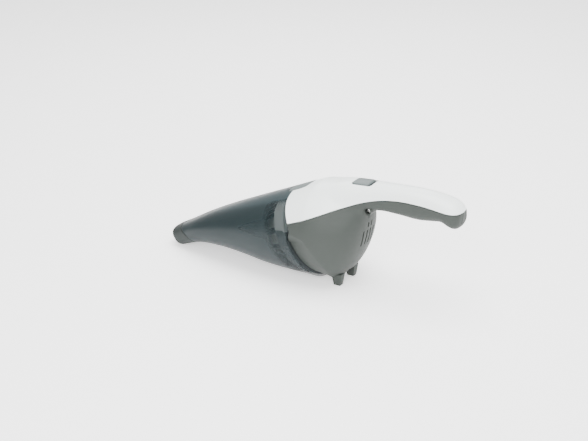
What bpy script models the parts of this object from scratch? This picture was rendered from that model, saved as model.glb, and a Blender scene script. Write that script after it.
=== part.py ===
"""Cordless handheld vacuum, built from named pieces in metres.

The nose points along -X, the handle along +X, and Z is up. The machine stands on the lip of its
nozzle and on two feet at z = 0. Sections across X shape the outer skin: a body lobe from nose to
rear wall, and a handle lobe that grows out of its top, with a smooth fillet between them.
"""

import math

import bmesh
import bpy
import numpy as np
from mathutils import Matrix, Vector

# Body lobe in front of the dome: x, top, bottom, half width, squareness of the section.
BODY_STATIONS = (
    (-0.206, 0.0140, -0.0120, 0.0190, 2.8),
    (-0.178, 0.0290, 0.0000, 0.0240, 2.7),
    (-0.150, 0.0450, 0.0100, 0.0310, 2.5),
    (-0.115, 0.0625, 0.0130, 0.0385, 2.3),
    (-0.080, 0.0785, 0.0105, 0.0445, 2.2),
    (-0.045, 0.0940, 0.0055, 0.0500, 2.1),
    (-0.010, 0.1090, 0.0035, 0.0540, 2.0),
    (0.015, 0.1170, 0.0030, 0.0550, 2.0),
)
# The dome closes the body behind DOME_START, and its centre climbs towards the handle root.
DOME_START = 0.015
DOME_LENGTH = 0.063
DOME_CENTRE = (
    (0.015, 0.0600),
    (0.033, 0.0590),
    (0.046, 0.0595),
    (0.057, 0.0645),
    (0.066, 0.0720),
    (0.073, 0.0810),
    (0.078, 0.0930),
)
# Handle lobe: x, top, bottom, half width.
HANDLE_STATIONS = (
    (-0.030, 0.0880, 0.0700, 0.0240),
    (0.000, 0.1080, 0.0780, 0.0290),
    (0.020, 0.1180, 0.0840, 0.0285),
    (0.040, 0.1243, 0.0900, 0.0260),
    (0.071, 0.1282, 0.0950, 0.0205),
    (0.096, 0.1300, 0.1000, 0.0182),
    (0.118, 0.1313, 0.0997, 0.0176),
    (0.143, 0.1318, 0.0985, 0.0176),
    (0.162, 0.1305, 0.1008, 0.0176),
    (0.171, 0.1290, 0.1018, 0.0176),
    (0.180, 0.1266, 0.0978, 0.0176),
    (0.186, 0.1236, 0.0966, 0.0176),
    (0.1902, 0.1192, 0.0993, 0.0176),
    (0.1925, 0.1155, 0.1035, 0.0176),
)
HANDLE_SQUARENESS = 2.6
HANDLE_ROUND_START = 0.1745
HANDLE_ROUND_POWER = 3.0
ROOT_FILLET = 0.012
# Centre that the section rays start from, behind the dome's start.
RAY_CENTRE = (
    (0.015, 0.0600),
    (0.040, 0.0660),
    (0.060, 0.0850),
    (0.072, 0.1000),
    (0.085, 0.1130),
    (0.110, 0.1155),
    (0.193, 0.1100),
)
SKIN_END = 0.1923

# The seam between bowl and housing is a plane that leans back towards the floor.
SEAM_X = -0.0018
SEAM_Z = 0.060
SEAM_LEAN = 0.43
# How far the bowl's edge reaches behind the seam plane at each height.
SEAM_STEP = (
    (0.0000, 0.0000),
    (0.0600, 0.0000),
    (0.0640, 0.0014),
    (0.0690, 0.0052),
    (0.0740, 0.0066),
    (0.0880, 0.0040),
    (0.1000, 0.0030),
    (0.1200, 0.0030),
)
# Extra room in front of the halves beside that step in the bowl's edge.
STEP_EASE = ((0.0590, 0.0), (0.0640, 0.0007), (0.0700, 0.0007), (0.0750, 0.0))
# White cover above, grey halves below: x and height of their joint line.
SPLIT_LINE = (
    (-0.020, 0.0730),
    (-0.004, 0.0788),
    (0.011, 0.0843),
    (0.028, 0.0912),
    (0.046, 0.0982),
    (0.064, 0.1050),
    (0.082, 0.1118),
    (0.100, 0.1168),
    (0.123, 0.1198),
    (0.151, 0.1196),
    (0.180, 0.1166),
    (0.1923, 0.1157),
)
COVER_END = 0.1918
COVER_SET_BACK = 0.0003
# Finger recess beside the bowl: height and x of its rear edge, and how deep it is at the bowl.
RECESS_EDGE = (
    (0.0060, 0.0340),
    (0.0117, 0.0388),
    (0.0225, 0.0416),
    (0.0370, 0.0385),
    (0.0493, 0.0322),
    (0.0596, 0.0236),
    (0.0655, 0.0160),
    (0.0680, 0.0030),
)
RECESS_DEPTH = 0.0032

WALL = 0.0022
BOWL_WALL = 0.0020
GAP = 0.0003
PANEL_GAP = 0.0005
BOWL_GAP = 0.0006
NOSE_GAP = 0.0009

# Mouth plane of the nozzle, and the rear edge of its band as x over height.
MOUTH_X = -0.178
MOUTH_SLOPE = 0.837
BAND_EDGE = (
    (0.0000, -0.1555),
    (0.0100, -0.1555),
    (0.0155, -0.1565),
    (0.0185, -0.1603),
    (0.0232, -0.1710),
    (0.0263, -0.1790),
    (0.0290, -0.1835),
)

# Nozzle tube and the duct around it, on a straight axis from nose to bowl.
DUCT_START = Vector((-0.176, 0.0, 0.0160))
DUCT_END = Vector((-0.086, 0.0, 0.0470))
TUBE_HALF_WIDTH = 0.0165
TUBE_HALF_HEIGHT = 0.0085
TUBE_WALL = 0.0015
TUBE_START = 0.0130
TUBE_LENGTH = 0.078
TUBE_CORNER = 4.0
DUCT_CLEARANCE = 0.0006
DUCT_WALL = 0.0016
DUCT_FRONT = 0.0240
FLAP_THICKNESS = 0.0012
PIN_RADIUS = 0.0010

# Distances along the fan axis start at the seam and are positive towards the motor.
COLLAR_DEPTH = 0.016
COLLAR_INSET = 0.0028
COLLAR_WALL = 0.0022
COLLAR_NECK_INSET = 0.0085
COLLAR_NECK_WALL = 0.0028
COLLAR_NECK_LENGTH = 0.0036
GRILLE_RADIUS = 0.0365
GRILLE_THICKNESS = 0.0020
SHROUD_RADIUS = 0.0350
SHROUD_FRONT = 0.0050
SHROUD_BACK = 0.0220
FAN_RADIUS = 0.0300
FAN_BLADES = 9
SHAFT_RADIUS = 0.0016
MOTOR_RADIUS = 0.0180
MOTOR_FRONT = 0.0245
MOTOR_LENGTH = 0.0300
MOUNT_WALL = 0.0030
SLEEVE_WALL = 0.0022
FILTER_RADIUS = 0.0430
FILTER_SEAT = -0.0110
FILTER_LENGTH = 0.0450
CUP_BASE_RADIUS = 0.0330
CUP_TIP_RADIUS = 0.0220
SCREEN_GAP = 0.0030
SCREEN_WALL = 0.0012

CELL_RADIUS = 0.0072
CELL_LENGTH = 0.0500
CELL_PLACES = ((0.0290, 0.0250), (0.0445, 0.0310))

FOOT_X = 0.0435
FOOT_Y = 0.0155
FOOT_LENGTH = 0.0090
FOOT_WIDTH = 0.0080
BAY_X = 0.0475
BAY_Z = 0.0135
BAY_SLOPE = math.radians(44.0)
BAY_LENGTH = 0.0190
BAY_WIDTH = 0.0180
BAY_DEPTH = 0.0050
BAY_WALL = 0.0012

# Release button: a tongue seen from above, thin where it lies over the collar.
LATCH_CENTRE = -0.0123
LATCH_HALF_LENGTH = 0.0135
LATCH_HALF_WIDTH = 0.0145
LATCH_SQUARENESS = 3.6
LATCH_THICKNESS = 0.0026
LATCH_LIP = 0.0012
LATCH_LIP_END = -0.0205
LATCH_CUT_BOTTOM = 0.0960
LATCH_CUT_TOP = 0.1250
SPRING_X = -0.0150
SPRING_SEAT_BOTTOM = 0.0957
SPRING_SEAT_TOP = 0.0985
SPRING_SEAT_RADIUS = 0.0036
SPRING_RADIUS = 0.0026
SPRING_WIRE = 0.0004
SPRING_TURNS = 3.5

SLIDER_X = 0.0685
SLIDER_LENGTH = 0.0220
SLIDER_WIDTH = 0.0210
SLIDER_CORNER = 0.0045
SLIDER_TRAVEL = 0.0035
SLIDER_PROUD = 0.0008
SLIDER_THICKNESS = 0.0030

VENT_SLOTS = ((0.0036, 0.0620, 0.0200), (0.0108, 0.0620, 0.0200), (0.0036, 0.0790, 0.0070))
VENT_X = 0.0725
VENT_REACH = 0.0260
VENT_WIDTH = 0.0022
VENT_LEAN = math.radians(14.0)

ROOT_SCREW_X = 0.0820
ROOT_SCREW_Z = 0.0996
SCREW_SHANK = 0.0014
SCREW_HEAD = 0.0030

# Moves the whole machine so that the origin lies under the middle of its length.
CENTRE_SHIFT = Vector((0.0012, 0.0, 0.0))

AXIS_DIRECTION = Vector((1.0, 0.0, SEAM_LEAN)).normalized()
AXIS_ORIGIN = Vector((SEAM_X, 0.0, SEAM_Z))


# ---- scene -------------------------------------------------------------------------------------

for old in list(bpy.data.objects):
    bpy.data.objects.remove(old, do_unlink=True)

parts = bpy.data.collections.new("handheld_vacuum")
bpy.context.scene.collection.children.link(parts)
cutters = bpy.data.collections.new("cutters")
bpy.context.scene.collection.children.link(cutters)


def make_material(name, color, roughness, metallic=0.0):
    material = bpy.data.materials.new(name)
    material.use_nodes = True
    shader = material.node_tree.nodes["Principled BSDF"]
    shader.inputs["Base Color"].default_value = (*color, 1.0)
    shader.inputs["Roughness"].default_value = roughness
    shader.inputs["Metallic"].default_value = metallic
    material.diffuse_color = (*color, 1.0)
    return material


WHITE = make_material("white_plastic", (0.86, 0.89, 0.87), 0.28)
GREY = make_material("grey_plastic", (0.23, 0.26, 0.25), 0.42)
PALE_GREY = make_material("pale_grey_plastic", (0.38, 0.42, 0.41), 0.40)
SMOKE = make_material("smoke_plastic", (0.13, 0.19, 0.21), 0.15)
DARK = make_material("dark_plastic", (0.04, 0.05, 0.05), 0.50)
RUBBER = make_material("rubber", (0.03, 0.03, 0.03), 0.80)
CLOTH = make_material("filter_cloth", (0.75, 0.75, 0.70), 0.95)
STEEL = make_material("steel", (0.60, 0.60, 0.60), 0.30, 1.0)
BRASS = make_material("brass", (0.70, 0.55, 0.25), 0.30, 1.0)
BOARD = make_material("board", (0.05, 0.20, 0.08), 0.60)
CELL_WRAP = make_material("cell_wrap", (0.05, 0.18, 0.40), 0.35)


def place(obj, material, location=(0.0, 0.0, 0.0), smooth=True):
    """Puts a finished object in the parts collection with its material."""
    parts.objects.link(obj)
    obj.location = Vector(location) + CENTRE_SHIFT
    obj.data.materials.append(material)
    if smooth and obj.type == "MESH":
        obj.data.shade_smooth()
        obj.data.set_sharp_from_angle(angle=math.radians(35.0))
    return obj


def place_cutter(obj):
    cutters.objects.link(obj)
    obj.location += CENTRE_SHIFT
    obj.hide_render = True
    obj.display_type = "WIRE"
    return obj


def boolean(obj, cutter, operation="DIFFERENCE"):
    modifier = obj.modifiers.new(cutter.name, "BOOLEAN")
    modifier.operation = operation
    modifier.solver = "EXACT"
    modifier.object = cutter


# ---- outer skin --------------------------------------------------------------------------------


def smooth_curve(points, x, column=1):
    """Cubic curve through the points, flat in curvature between them as a bent batten is."""
    knots = np.array([point[0] for point in points])
    values = np.array([point[column] for point in points])
    steps = np.diff(knots)
    slopes = np.diff(values) / steps
    tangents = np.concatenate(([slopes[0]], slopes, [slopes[-1]]))
    before = np.concatenate(([1.0], steps))
    after = np.concatenate((steps, [1.0]))
    tangents = (tangents[:-1] * after + tangents[1:] * before) / (before + after)
    x = np.clip(np.asarray(x, float), knots[0], knots[-1])
    i = np.clip(np.searchsorted(knots, x, side="right") - 1, 0, len(steps) - 1)
    t = (x - knots[i]) / steps[i]
    rise = values[i + 1] - values[i]
    start = tangents[i] * steps[i]
    end = tangents[i + 1] * steps[i]
    return values[i] + t * (start + t * ((3 * rise - 2 * start - end) + t * (start + end - 2 * rise)))


def smooth_step(low, high, value):
    t = np.clip((value - low) / (high - low), 0.0, 1.0)
    return t * t * (3.0 - 2.0 * t)


def lobe(y, z, half_width, half_height, centre, power):
    """About the distance from a rounded section: negative inside it."""
    reach = (np.abs(y) / half_width) ** power + (np.abs(z - centre) / half_height) ** power
    return (reach ** (1.0 / power) - 1.0) * np.minimum(half_width, half_height)


def body_lobe(x, y, z):
    front = np.minimum(x, DOME_START)
    top = smooth_curve(BODY_STATIONS, front, 1)
    bottom = smooth_curve(BODY_STATIONS, front, 2)
    dome = np.clip((x - DOME_START) / DOME_LENGTH, 0.0, 0.99999)
    shrink = np.sqrt(1.0 - dome**2)
    half_width = smooth_curve(BODY_STATIONS, front, 3) * shrink
    half_height = 0.5 * (top - bottom) * shrink
    centre = np.where(x < DOME_START, 0.5 * (top + bottom), smooth_curve(DOME_CENTRE, x))
    power = smooth_curve(BODY_STATIONS, front, 4)
    section = lobe(y, z, half_width, half_height, centre, power)
    beyond = np.maximum(x - DOME_START - DOME_LENGTH, 0.0)
    return np.where(beyond > 0.0, np.sqrt(beyond**2 + np.maximum(section, 0.0) ** 2), section)


def handle_lobe(x, y, z):
    top = smooth_curve(HANDLE_STATIONS, x, 1)
    bottom = smooth_curve(HANDLE_STATIONS, x, 2)
    turn = np.clip((x - HANDLE_ROUND_START) / (HANDLE_STATIONS[-1][0] - HANDLE_ROUND_START), 0.0, 0.9999)
    shrink = (1.0 - turn**HANDLE_ROUND_POWER) ** (1.0 / HANDLE_ROUND_POWER)
    half_width = smooth_curve(HANDLE_STATIONS, x, 3) * shrink
    return lobe(y, z, half_width, 0.5 * (top - bottom), 0.5 * (top + bottom), HANDLE_SQUARENESS)


def skin_distance(x, y, z):
    """Negative inside the outer skin, zero on it: both lobes joined by a fillet."""
    body = body_lobe(x, y, z)
    handle = handle_lobe(x, y, z)
    blend = np.maximum(ROOT_FILLET - np.abs(body - handle), 0.0) / ROOT_FILLET
    joined = np.minimum(body, handle) - 0.25 * ROOT_FILLET * blend**2
    return np.where(x < HANDLE_STATIONS[0][0], body, joined)


def ray_centre(x):
    top = smooth_curve(BODY_STATIONS, np.minimum(x, DOME_START), 1)
    bottom = smooth_curve(BODY_STATIONS, np.minimum(x, DOME_START), 2)
    return np.where(x < DOME_START, 0.5 * (top + bottom), smooth_curve(RAY_CENTRE, x))


def skin_point(x, angle):
    """Point of the skin at x on the ray at this angle from straight up, positive towards +Y."""
    x, angle = np.broadcast_arrays(np.asarray(x, float), np.asarray(angle, float))
    centre = ray_centre(x)
    low = np.zeros(x.shape)
    high = np.full(x.shape, 0.09)
    for _ in range(36):
        middle = 0.5 * (low + high)
        inside = skin_distance(x, middle * np.sin(angle), centre + middle * np.cos(angle)) < 0.0
        low = np.where(inside, middle, low)
        high = np.where(inside, high, middle)
    return np.stack((x, low * np.sin(angle), centre + low * np.cos(angle)), axis=-1)


def skin_normal(points):
    step = 1e-5
    x, y, z = points[..., 0], points[..., 1], points[..., 2]
    slope = [
        skin_distance(x + step * dx, y + step * dy, z + step * dz)
        - skin_distance(x - step * dx, y - step * dy, z - step * dz)
        for dx, dy, dz in ((1, 0, 0), (0, 1, 0), (0, 0, 1))
    ]
    normal = np.stack(slope, axis=-1)
    return normal / np.linalg.norm(normal, axis=-1, keepdims=True)


TABLE_X = np.linspace(BODY_STATIONS[0][0], SKIN_END, 420)
TABLE_ANGLE = np.linspace(0.0, math.pi, 181)
TABLE_HEIGHT = skin_point(TABLE_X[:, None], TABLE_ANGLE[None, :])[..., 2]


def near_height(x, angle):
    """Height of the skin at x and angle, read between the computed sections."""
    folded = np.abs((angle + math.pi) % (2.0 * math.pi) - math.pi)
    along = (np.clip(x, TABLE_X[0], TABLE_X[-1]) - TABLE_X[0]) / (TABLE_X[1] - TABLE_X[0])
    around = folded / TABLE_ANGLE[1]
    i = np.minimum(along.astype(int), len(TABLE_X) - 2)
    j = np.minimum(around.astype(int), len(TABLE_ANGLE) - 2)
    s, t = along - i, around - j
    near = TABLE_HEIGHT[i, j] * (1 - t) + TABLE_HEIGHT[i, j + 1] * t
    far = TABLE_HEIGHT[i + 1, j] * (1 - t) + TABLE_HEIGHT[i + 1, j + 1] * t
    return near * (1 - s) + far * s


def angle_at_height(x, height):
    """Angle on the +Y side at which the skin passes this height."""
    x, height = np.broadcast_arrays(np.asarray(x, float), np.asarray(height, float))
    low = np.zeros(x.shape)
    high = np.full(x.shape, math.pi)
    for _ in range(30):
        middle = 0.5 * (low + high)
        above = near_height(x, middle) > height
        low = np.where(above, middle, low)
        high = np.where(above, high, middle)
    return low


def seam_plane(z):
    return SEAM_X - SEAM_LEAN * (z - SEAM_Z)


def bowl_edge(z):
    """x of the bowl's rear edge, which reaches further back above the finger recess."""
    return seam_plane(z) + np.interp(z, *zip(*SEAM_STEP))


def recess_depth(points):
    """How far the finger recess sinks the housing's skin."""
    x, z = points[..., 0], points[..., 2]
    rear = smooth_curve(RECESS_EDGE, z)
    front = seam_plane(z)
    share = np.clip((rear - x) / np.maximum(rear - front, 0.004), 0.0, 1.0)
    inside = (z < RECESS_EDGE[-1][0]) & (x < rear)
    return np.where(inside, RECESS_DEPTH * share**0.8, 0.0)


def meet_edge(angle, edge, start):
    """x at which each ray meets an edge that is given as x over height."""
    x = np.full(np.shape(angle), start)
    for _ in range(30):
        x = 0.5 * x + 0.5 * edge(near_height(x, angle))
    return x


# ---- mesh helpers ------------------------------------------------------------------------------


def grid_faces(bm, grid, close_rows=False, close_columns=False, flip=False):
    rows, columns = len(grid), len(grid[0])
    for i in range(rows if close_rows else rows - 1):
        for j in range(columns if close_columns else columns - 1):
            a, b = grid[i][j], grid[i][(j + 1) % columns]
            c, d = grid[(i + 1) % rows][(j + 1) % columns], grid[(i + 1) % rows][j]
            corners = list(dict.fromkeys((a, d, c, b) if flip else (a, b, c, d)))
            if len(corners) > 2:
                bm.faces.new(corners)


def finish_mesh(name, bm):
    """Welds doubles, points the faces outwards and makes an object."""
    bmesh.ops.remove_doubles(bm, verts=bm.verts, dist=1e-6)
    bmesh.ops.recalc_face_normals(bm, faces=bm.faces)
    mesh = bpy.data.meshes.new(name)
    bm.to_mesh(mesh)
    bm.free()
    return bpy.data.objects.new(name, mesh)


def shell_from_skin(name, outer, direction, wall, capped=False):
    """A closed shell between a grid of skin points and the same grid pushed inwards."""
    inner = outer - direction * wall
    bm = bmesh.new()
    skin = [[bm.verts.new(point) for point in row] for row in outer]
    core = [[bm.verts.new(point) for point in row] for row in inner]
    grid_faces(bm, skin)
    grid_faces(bm, core, flip=True)
    rim = [row[0] for row in skin], [row[0] for row in core]
    grid_faces(bm, rim)
    rim = [row[-1] for row in core], [row[-1] for row in skin]
    grid_faces(bm, rim)
    grid_faces(bm, (core[0], skin[0]))
    if capped:
        bm.faces.new(skin[-1])
        bm.faces.new(list(reversed(core[-1])))
        grid_faces(bm, ((skin[-1][0], skin[-1][-1]), (core[-1][0], core[-1][-1])))
    else:
        grid_faces(bm, (skin[-1], core[-1]))
    return finish_mesh(name, bm)


def ring_solid(name, rings):
    """A closed ring-shaped solid: each ring joins the next, and the last joins the first."""
    bm = bmesh.new()
    grid = [[bm.verts.new(point) for point in ring] for ring in rings]
    grid_faces(bm, grid, close_rows=True, close_columns=True)
    return finish_mesh(name, bm)


def turned(name, profile, material, steps=32):
    """A profile of radius and distance along the fan axis, turned about that axis."""
    mesh = bpy.data.meshes.new(name)
    following = profile[1:] + profile[:1]
    doubled_area = sum(a[0] * b[1] - b[0] * a[1] for a, b in zip(profile, following))
    points = [(radius, 0.0, along) for radius, along in (profile if doubled_area < 0 else profile[::-1])]
    edges = [(i, i + 1) for i in range(len(points) - 1)]
    if all(radius > 0.0 for radius, _ in profile):
        edges.append((len(points) - 1, 0))
    mesh.from_pydata(points, edges, [])
    obj = bpy.data.objects.new(name, mesh)
    screw = obj.modifiers.new("turn", "SCREW")
    screw.steps = steps
    screw.render_steps = steps
    screw.use_merge_vertices = True
    screw.merge_threshold = 0.00001
    place(obj, material, AXIS_ORIGIN, smooth=False)
    obj.rotation_euler = AXIS_DIRECTION.to_track_quat("Z", "Y").to_euler()
    return obj


def box(name, size, location, rotation=None, taper=1.0):
    """A box; its lower face is taper times as large as its upper one."""
    bm = bmesh.new()
    bmesh.ops.create_cube(bm, size=1.0)
    for vert in bm.verts:
        share = taper if vert.co.z < 0 else 1.0
        vert.co = Vector((vert.co.x * size[0] * share, vert.co.y * size[1] * share, vert.co.z * size[2]))
    mesh = bpy.data.meshes.new(name)
    bm.to_mesh(mesh)
    bm.free()
    obj = bpy.data.objects.new(name, mesh)
    obj.location = location
    if rotation is not None:
        obj.rotation_euler = rotation
    return obj


def cylinder(name, radius, length, location, axis="Y", steps=20, top_radius=None):
    bm = bmesh.new()
    bmesh.ops.create_cone(
        bm,
        cap_ends=True,
        segments=steps,
        radius1=radius,
        radius2=radius if top_radius is None else top_radius,
        depth=length,
    )
    mesh = bpy.data.meshes.new(name)
    bm.to_mesh(mesh)
    bm.free()
    obj = bpy.data.objects.new(name, mesh)
    obj.location = location
    turns = {"X": (0.0, math.pi / 2, 0.0), "Y": (math.pi / 2, 0.0, 0.0), "Z": (0.0, 0.0, 0.0)}
    obj.rotation_euler = turns[axis]
    return obj


def bevel(obj, width, segments=2):
    modifier = obj.modifiers.new("round", "BEVEL")
    modifier.width = width
    modifier.segments = segments
    modifier.limit_method = "ANGLE"
    modifier.angle_limit = math.radians(40.0)
    return obj


def round_upright_edges(obj, radius):
    """Rounds the four edges of a box that run along its own Z."""
    bm = bmesh.new()
    bm.from_mesh(obj.data)
    upright_edges = [e for e in bm.edges if abs((e.verts[0].co - e.verts[1].co).normalized().z) > 0.99]
    bmesh.ops.bevel(bm, geom=upright_edges, offset=radius, segments=5, affect="EDGES", profile=0.5)
    bm.to_mesh(obj.data)
    bm.free()


def joined(name, objects):
    """One object from several, each kept as a separate body inside it."""
    bm = bmesh.new()
    for obj in objects:
        turn = obj.rotation_euler.to_matrix().to_4x4()
        obj.data.transform(Matrix.Translation(obj.location) @ turn)
        bm.from_mesh(obj.data)
        bpy.data.objects.remove(obj)
    mesh = bpy.data.meshes.new(name)
    bm.to_mesh(mesh)
    bm.free()
    return bpy.data.objects.new(name, mesh)


def on_axis(along, radius=0.0, turn=0.0):
    """Point at a distance along the fan axis, and at a radius and turn about it."""
    up = Vector((-AXIS_DIRECTION.z, 0.0, AXIS_DIRECTION.x))
    side = Vector((0.0, 1.0, 0.0))
    return AXIS_ORIGIN + AXIS_DIRECTION * along + radius * (math.cos(turn) * up + math.sin(turn) * side)


# ---- dust bowl, duct, nozzle -------------------------------------------------------------------


def full_turn(count):
    return np.linspace(0.0, 2.0 * math.pi, count, endpoint=False) + math.pi / count


def mouth_line(z, setback=0.0):
    return MOUTH_X + setback - MOUTH_SLOPE * z


def band_edge(z):
    return np.interp(z, *zip(*BAND_EDGE))


def skin_ring(angles, x, inset=0.0):
    points = skin_point(x, angles)
    return points - skin_normal(points) * inset


def build_dust_bowl():
    angles = full_turn(40)
    front = meet_edge(angles, lambda z: band_edge(z) + NOSE_GAP, MOUTH_X)
    rear = meet_edge(angles, bowl_edge, SEAM_X)
    shares = np.linspace(0.0, 1.0, 13)
    outer = [skin_ring(angles, front + (rear - front) * share) for share in shares]
    inner = [skin_ring(angles, front + (rear - front) * share, BOWL_WALL) for share in reversed(shares)]
    bowl = place(ring_solid("dust_bowl", outer + inner), SMOKE)
    boolean(bowl, place_cutter(latch_prism("bowl_notch", BOWL_GAP)))
    return bowl


def duct_frame(along):
    """Centre, up vector and side vector of the duct at a distance from its start."""
    direction = (DUCT_END - DUCT_START).normalized()
    up = Vector((-direction.z, 0.0, direction.x))
    return DUCT_START + direction * along, up


def duct_ring(angles, along, half_width, half_height):
    """Rounded rectangle across the duct axis."""
    centre, up = duct_frame(along)
    cosine, sine = np.cos(angles), np.sin(angles)
    reach = (np.abs(cosine) ** TUBE_CORNER + np.abs(sine) ** TUBE_CORNER) ** (-1.0 / TUBE_CORNER)
    height = half_height * reach * cosine
    side = half_width * reach * sine
    return np.array([Vector(centre) + up * h + Vector((0.0, s, 0.0)) for h, s in zip(height, side)])


def build_nozzle():
    angles = full_turn(40)
    mouth = meet_edge(angles, mouth_line, MOUTH_X)
    band = meet_edge(angles, band_edge, MOUTH_X)
    outside = [skin_ring(angles, mouth + (band - mouth) * share) for share in (0.0, 0.5, 1.0)]
    middle = meet_edge(angles, lambda z: mouth_line(z, 0.004), MOUTH_X)
    half_width, half_height = TUBE_HALF_WIDTH, TUBE_HALF_HEIGHT
    start = TUBE_START
    rings = outside + [
        skin_ring(angles, band, BOWL_WALL + BOWL_GAP),
        duct_ring(angles, start, half_width, half_height),
        duct_ring(angles, TUBE_LENGTH, half_width, half_height),
        duct_ring(angles, TUBE_LENGTH, half_width - TUBE_WALL, half_height - TUBE_WALL),
        duct_ring(angles, start - 0.002, half_width - TUBE_WALL, half_height - TUBE_WALL),
        skin_ring(angles, middle, 0.0024),
        skin_ring(angles, mouth, 0.0018),
    ]
    return place(ring_solid("nozzle", rings), GREY)


def duct_length():
    return (DUCT_END - DUCT_START).length


def build_inlet_duct():
    angles = full_turn(40)
    inner_width = TUBE_HALF_WIDTH + DUCT_CLEARANCE
    inner_height = TUBE_HALF_HEIGHT + DUCT_CLEARANCE
    front = DUCT_FRONT
    rings = [
        duct_ring(angles, front, inner_width + DUCT_WALL, inner_height + DUCT_WALL),
        duct_ring(angles, duct_length(), inner_width + DUCT_WALL + 0.002, inner_height + DUCT_WALL + 0.003),
        duct_ring(angles, duct_length(), inner_width + 0.002, inner_height + 0.003),
        duct_ring(angles, front, inner_width, inner_height),
    ]
    return place(ring_solid("inlet_duct", rings), DARK)


def flap_pivot():
    centre, up = duct_frame(duct_length() + 0.0030)
    return centre + up * (TUBE_HALF_HEIGHT + DUCT_CLEARANCE + DUCT_WALL + 0.0030)


def build_flap():
    """Rubber plate that hangs from a pin over the rear end of the duct."""
    width = 2.0 * (TUBE_HALF_WIDTH + DUCT_CLEARANCE + DUCT_WALL + 0.002)
    height = 2.0 * (TUBE_HALF_HEIGHT + DUCT_CLEARANCE + DUCT_WALL + 0.003)
    pivot = flap_pivot()
    direction = (DUCT_END - DUCT_START).normalized()
    tilt = -math.atan2(direction.z, direction.x)
    knuckle = cylinder("flap", PIN_RADIUS + GAP + 0.0012, width - 0.006, (0.0, 0.0, 0.0), "Y", 20)
    knuckle.data.transform(knuckle.rotation_euler.to_matrix().to_4x4())
    knuckle.rotation_euler = (0.0, tilt, 0.0)
    plate = box("flap_plate", (FLAP_THICKNESS, width, height), (0.0, 0.0, 0.0))
    plate.data.transform(Matrix.Translation((0.0, 0.0, -height / 2 - 0.0008)))
    plate.location = pivot
    plate.rotation_euler = (0.0, tilt, 0.0)
    bore = cylinder("flap_bore", PIN_RADIUS + GAP, width, pivot, "Y", 16)
    place(knuckle, RUBBER, pivot)
    boolean(knuckle, place_cutter(plate), "UNION")
    boolean(knuckle, place_cutter(bore))
    pin = cylinder("flap_pin", PIN_RADIUS, width + 0.004, pivot, "Y", 16)
    place(pin, STEEL, pivot)


# ---- filter and intake -------------------------------------------------------------------------


def seam_ring(angles, offset, inset):
    x = meet_edge(angles, lambda z: seam_plane(z) + offset, SEAM_X)
    return skin_ring(angles, x, inset)


def build_intake_collar():
    """Spigot that the bowl slides over, with a narrower neck inside the housing."""
    angles = full_turn(40)
    step = -0.0010
    rings = [
        seam_ring(angles, -COLLAR_DEPTH, COLLAR_INSET),
        seam_ring(angles, step, COLLAR_INSET),
        seam_ring(angles, step, COLLAR_NECK_INSET),
        seam_ring(angles, COLLAR_NECK_LENGTH, COLLAR_NECK_INSET),
        seam_ring(angles, COLLAR_NECK_LENGTH, COLLAR_NECK_INSET + COLLAR_NECK_WALL),
        seam_ring(angles, step - 0.0025, COLLAR_NECK_INSET + COLLAR_NECK_WALL),
        seam_ring(angles, step - 0.0025, COLLAR_INSET + COLLAR_WALL),
        seam_ring(angles, -COLLAR_DEPTH, COLLAR_INSET + COLLAR_WALL),
    ]
    collar = place(ring_solid("intake_collar", rings), PALE_GREY)
    seat_z = 0.5 * (SPRING_SEAT_BOTTOM + SPRING_SEAT_TOP)
    seat_height = SPRING_SEAT_TOP - SPRING_SEAT_BOTTOM
    seat = cylinder("spring_seat", SPRING_SEAT_RADIUS, seat_height, (SPRING_X, 0.0, seat_z), "Z", 20)
    boolean(collar, place_cutter(seat), "UNION")
    return collar


def build_intake_grille():
    """Plate in front of the fan, with a ring of slots around its hub."""
    back = GRILLE_THICKNESS + 0.0005
    profile = ((0.0, 0.0005), (GRILLE_RADIUS, 0.0005), (GRILLE_RADIUS, back), (0.0, back))
    grille = turned("intake_grille", profile, DARK, 40)
    slots = []
    for i in range(10):
        turn = 2.0 * math.pi * i / 10
        slot = box("slot", (0.016, 0.0060, 0.012), on_axis(0.0015, 0.0215, turn))
        radial = on_axis(0.0, 1.0, turn) - AXIS_ORIGIN
        frame = Matrix((radial, AXIS_DIRECTION.cross(radial), AXIS_DIRECTION)).transposed()
        slot.rotation_euler = frame.to_euler()
        slots.append(slot)
    boolean(grille, place_cutter(joined("grille_slots", slots)))
    return grille


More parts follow.
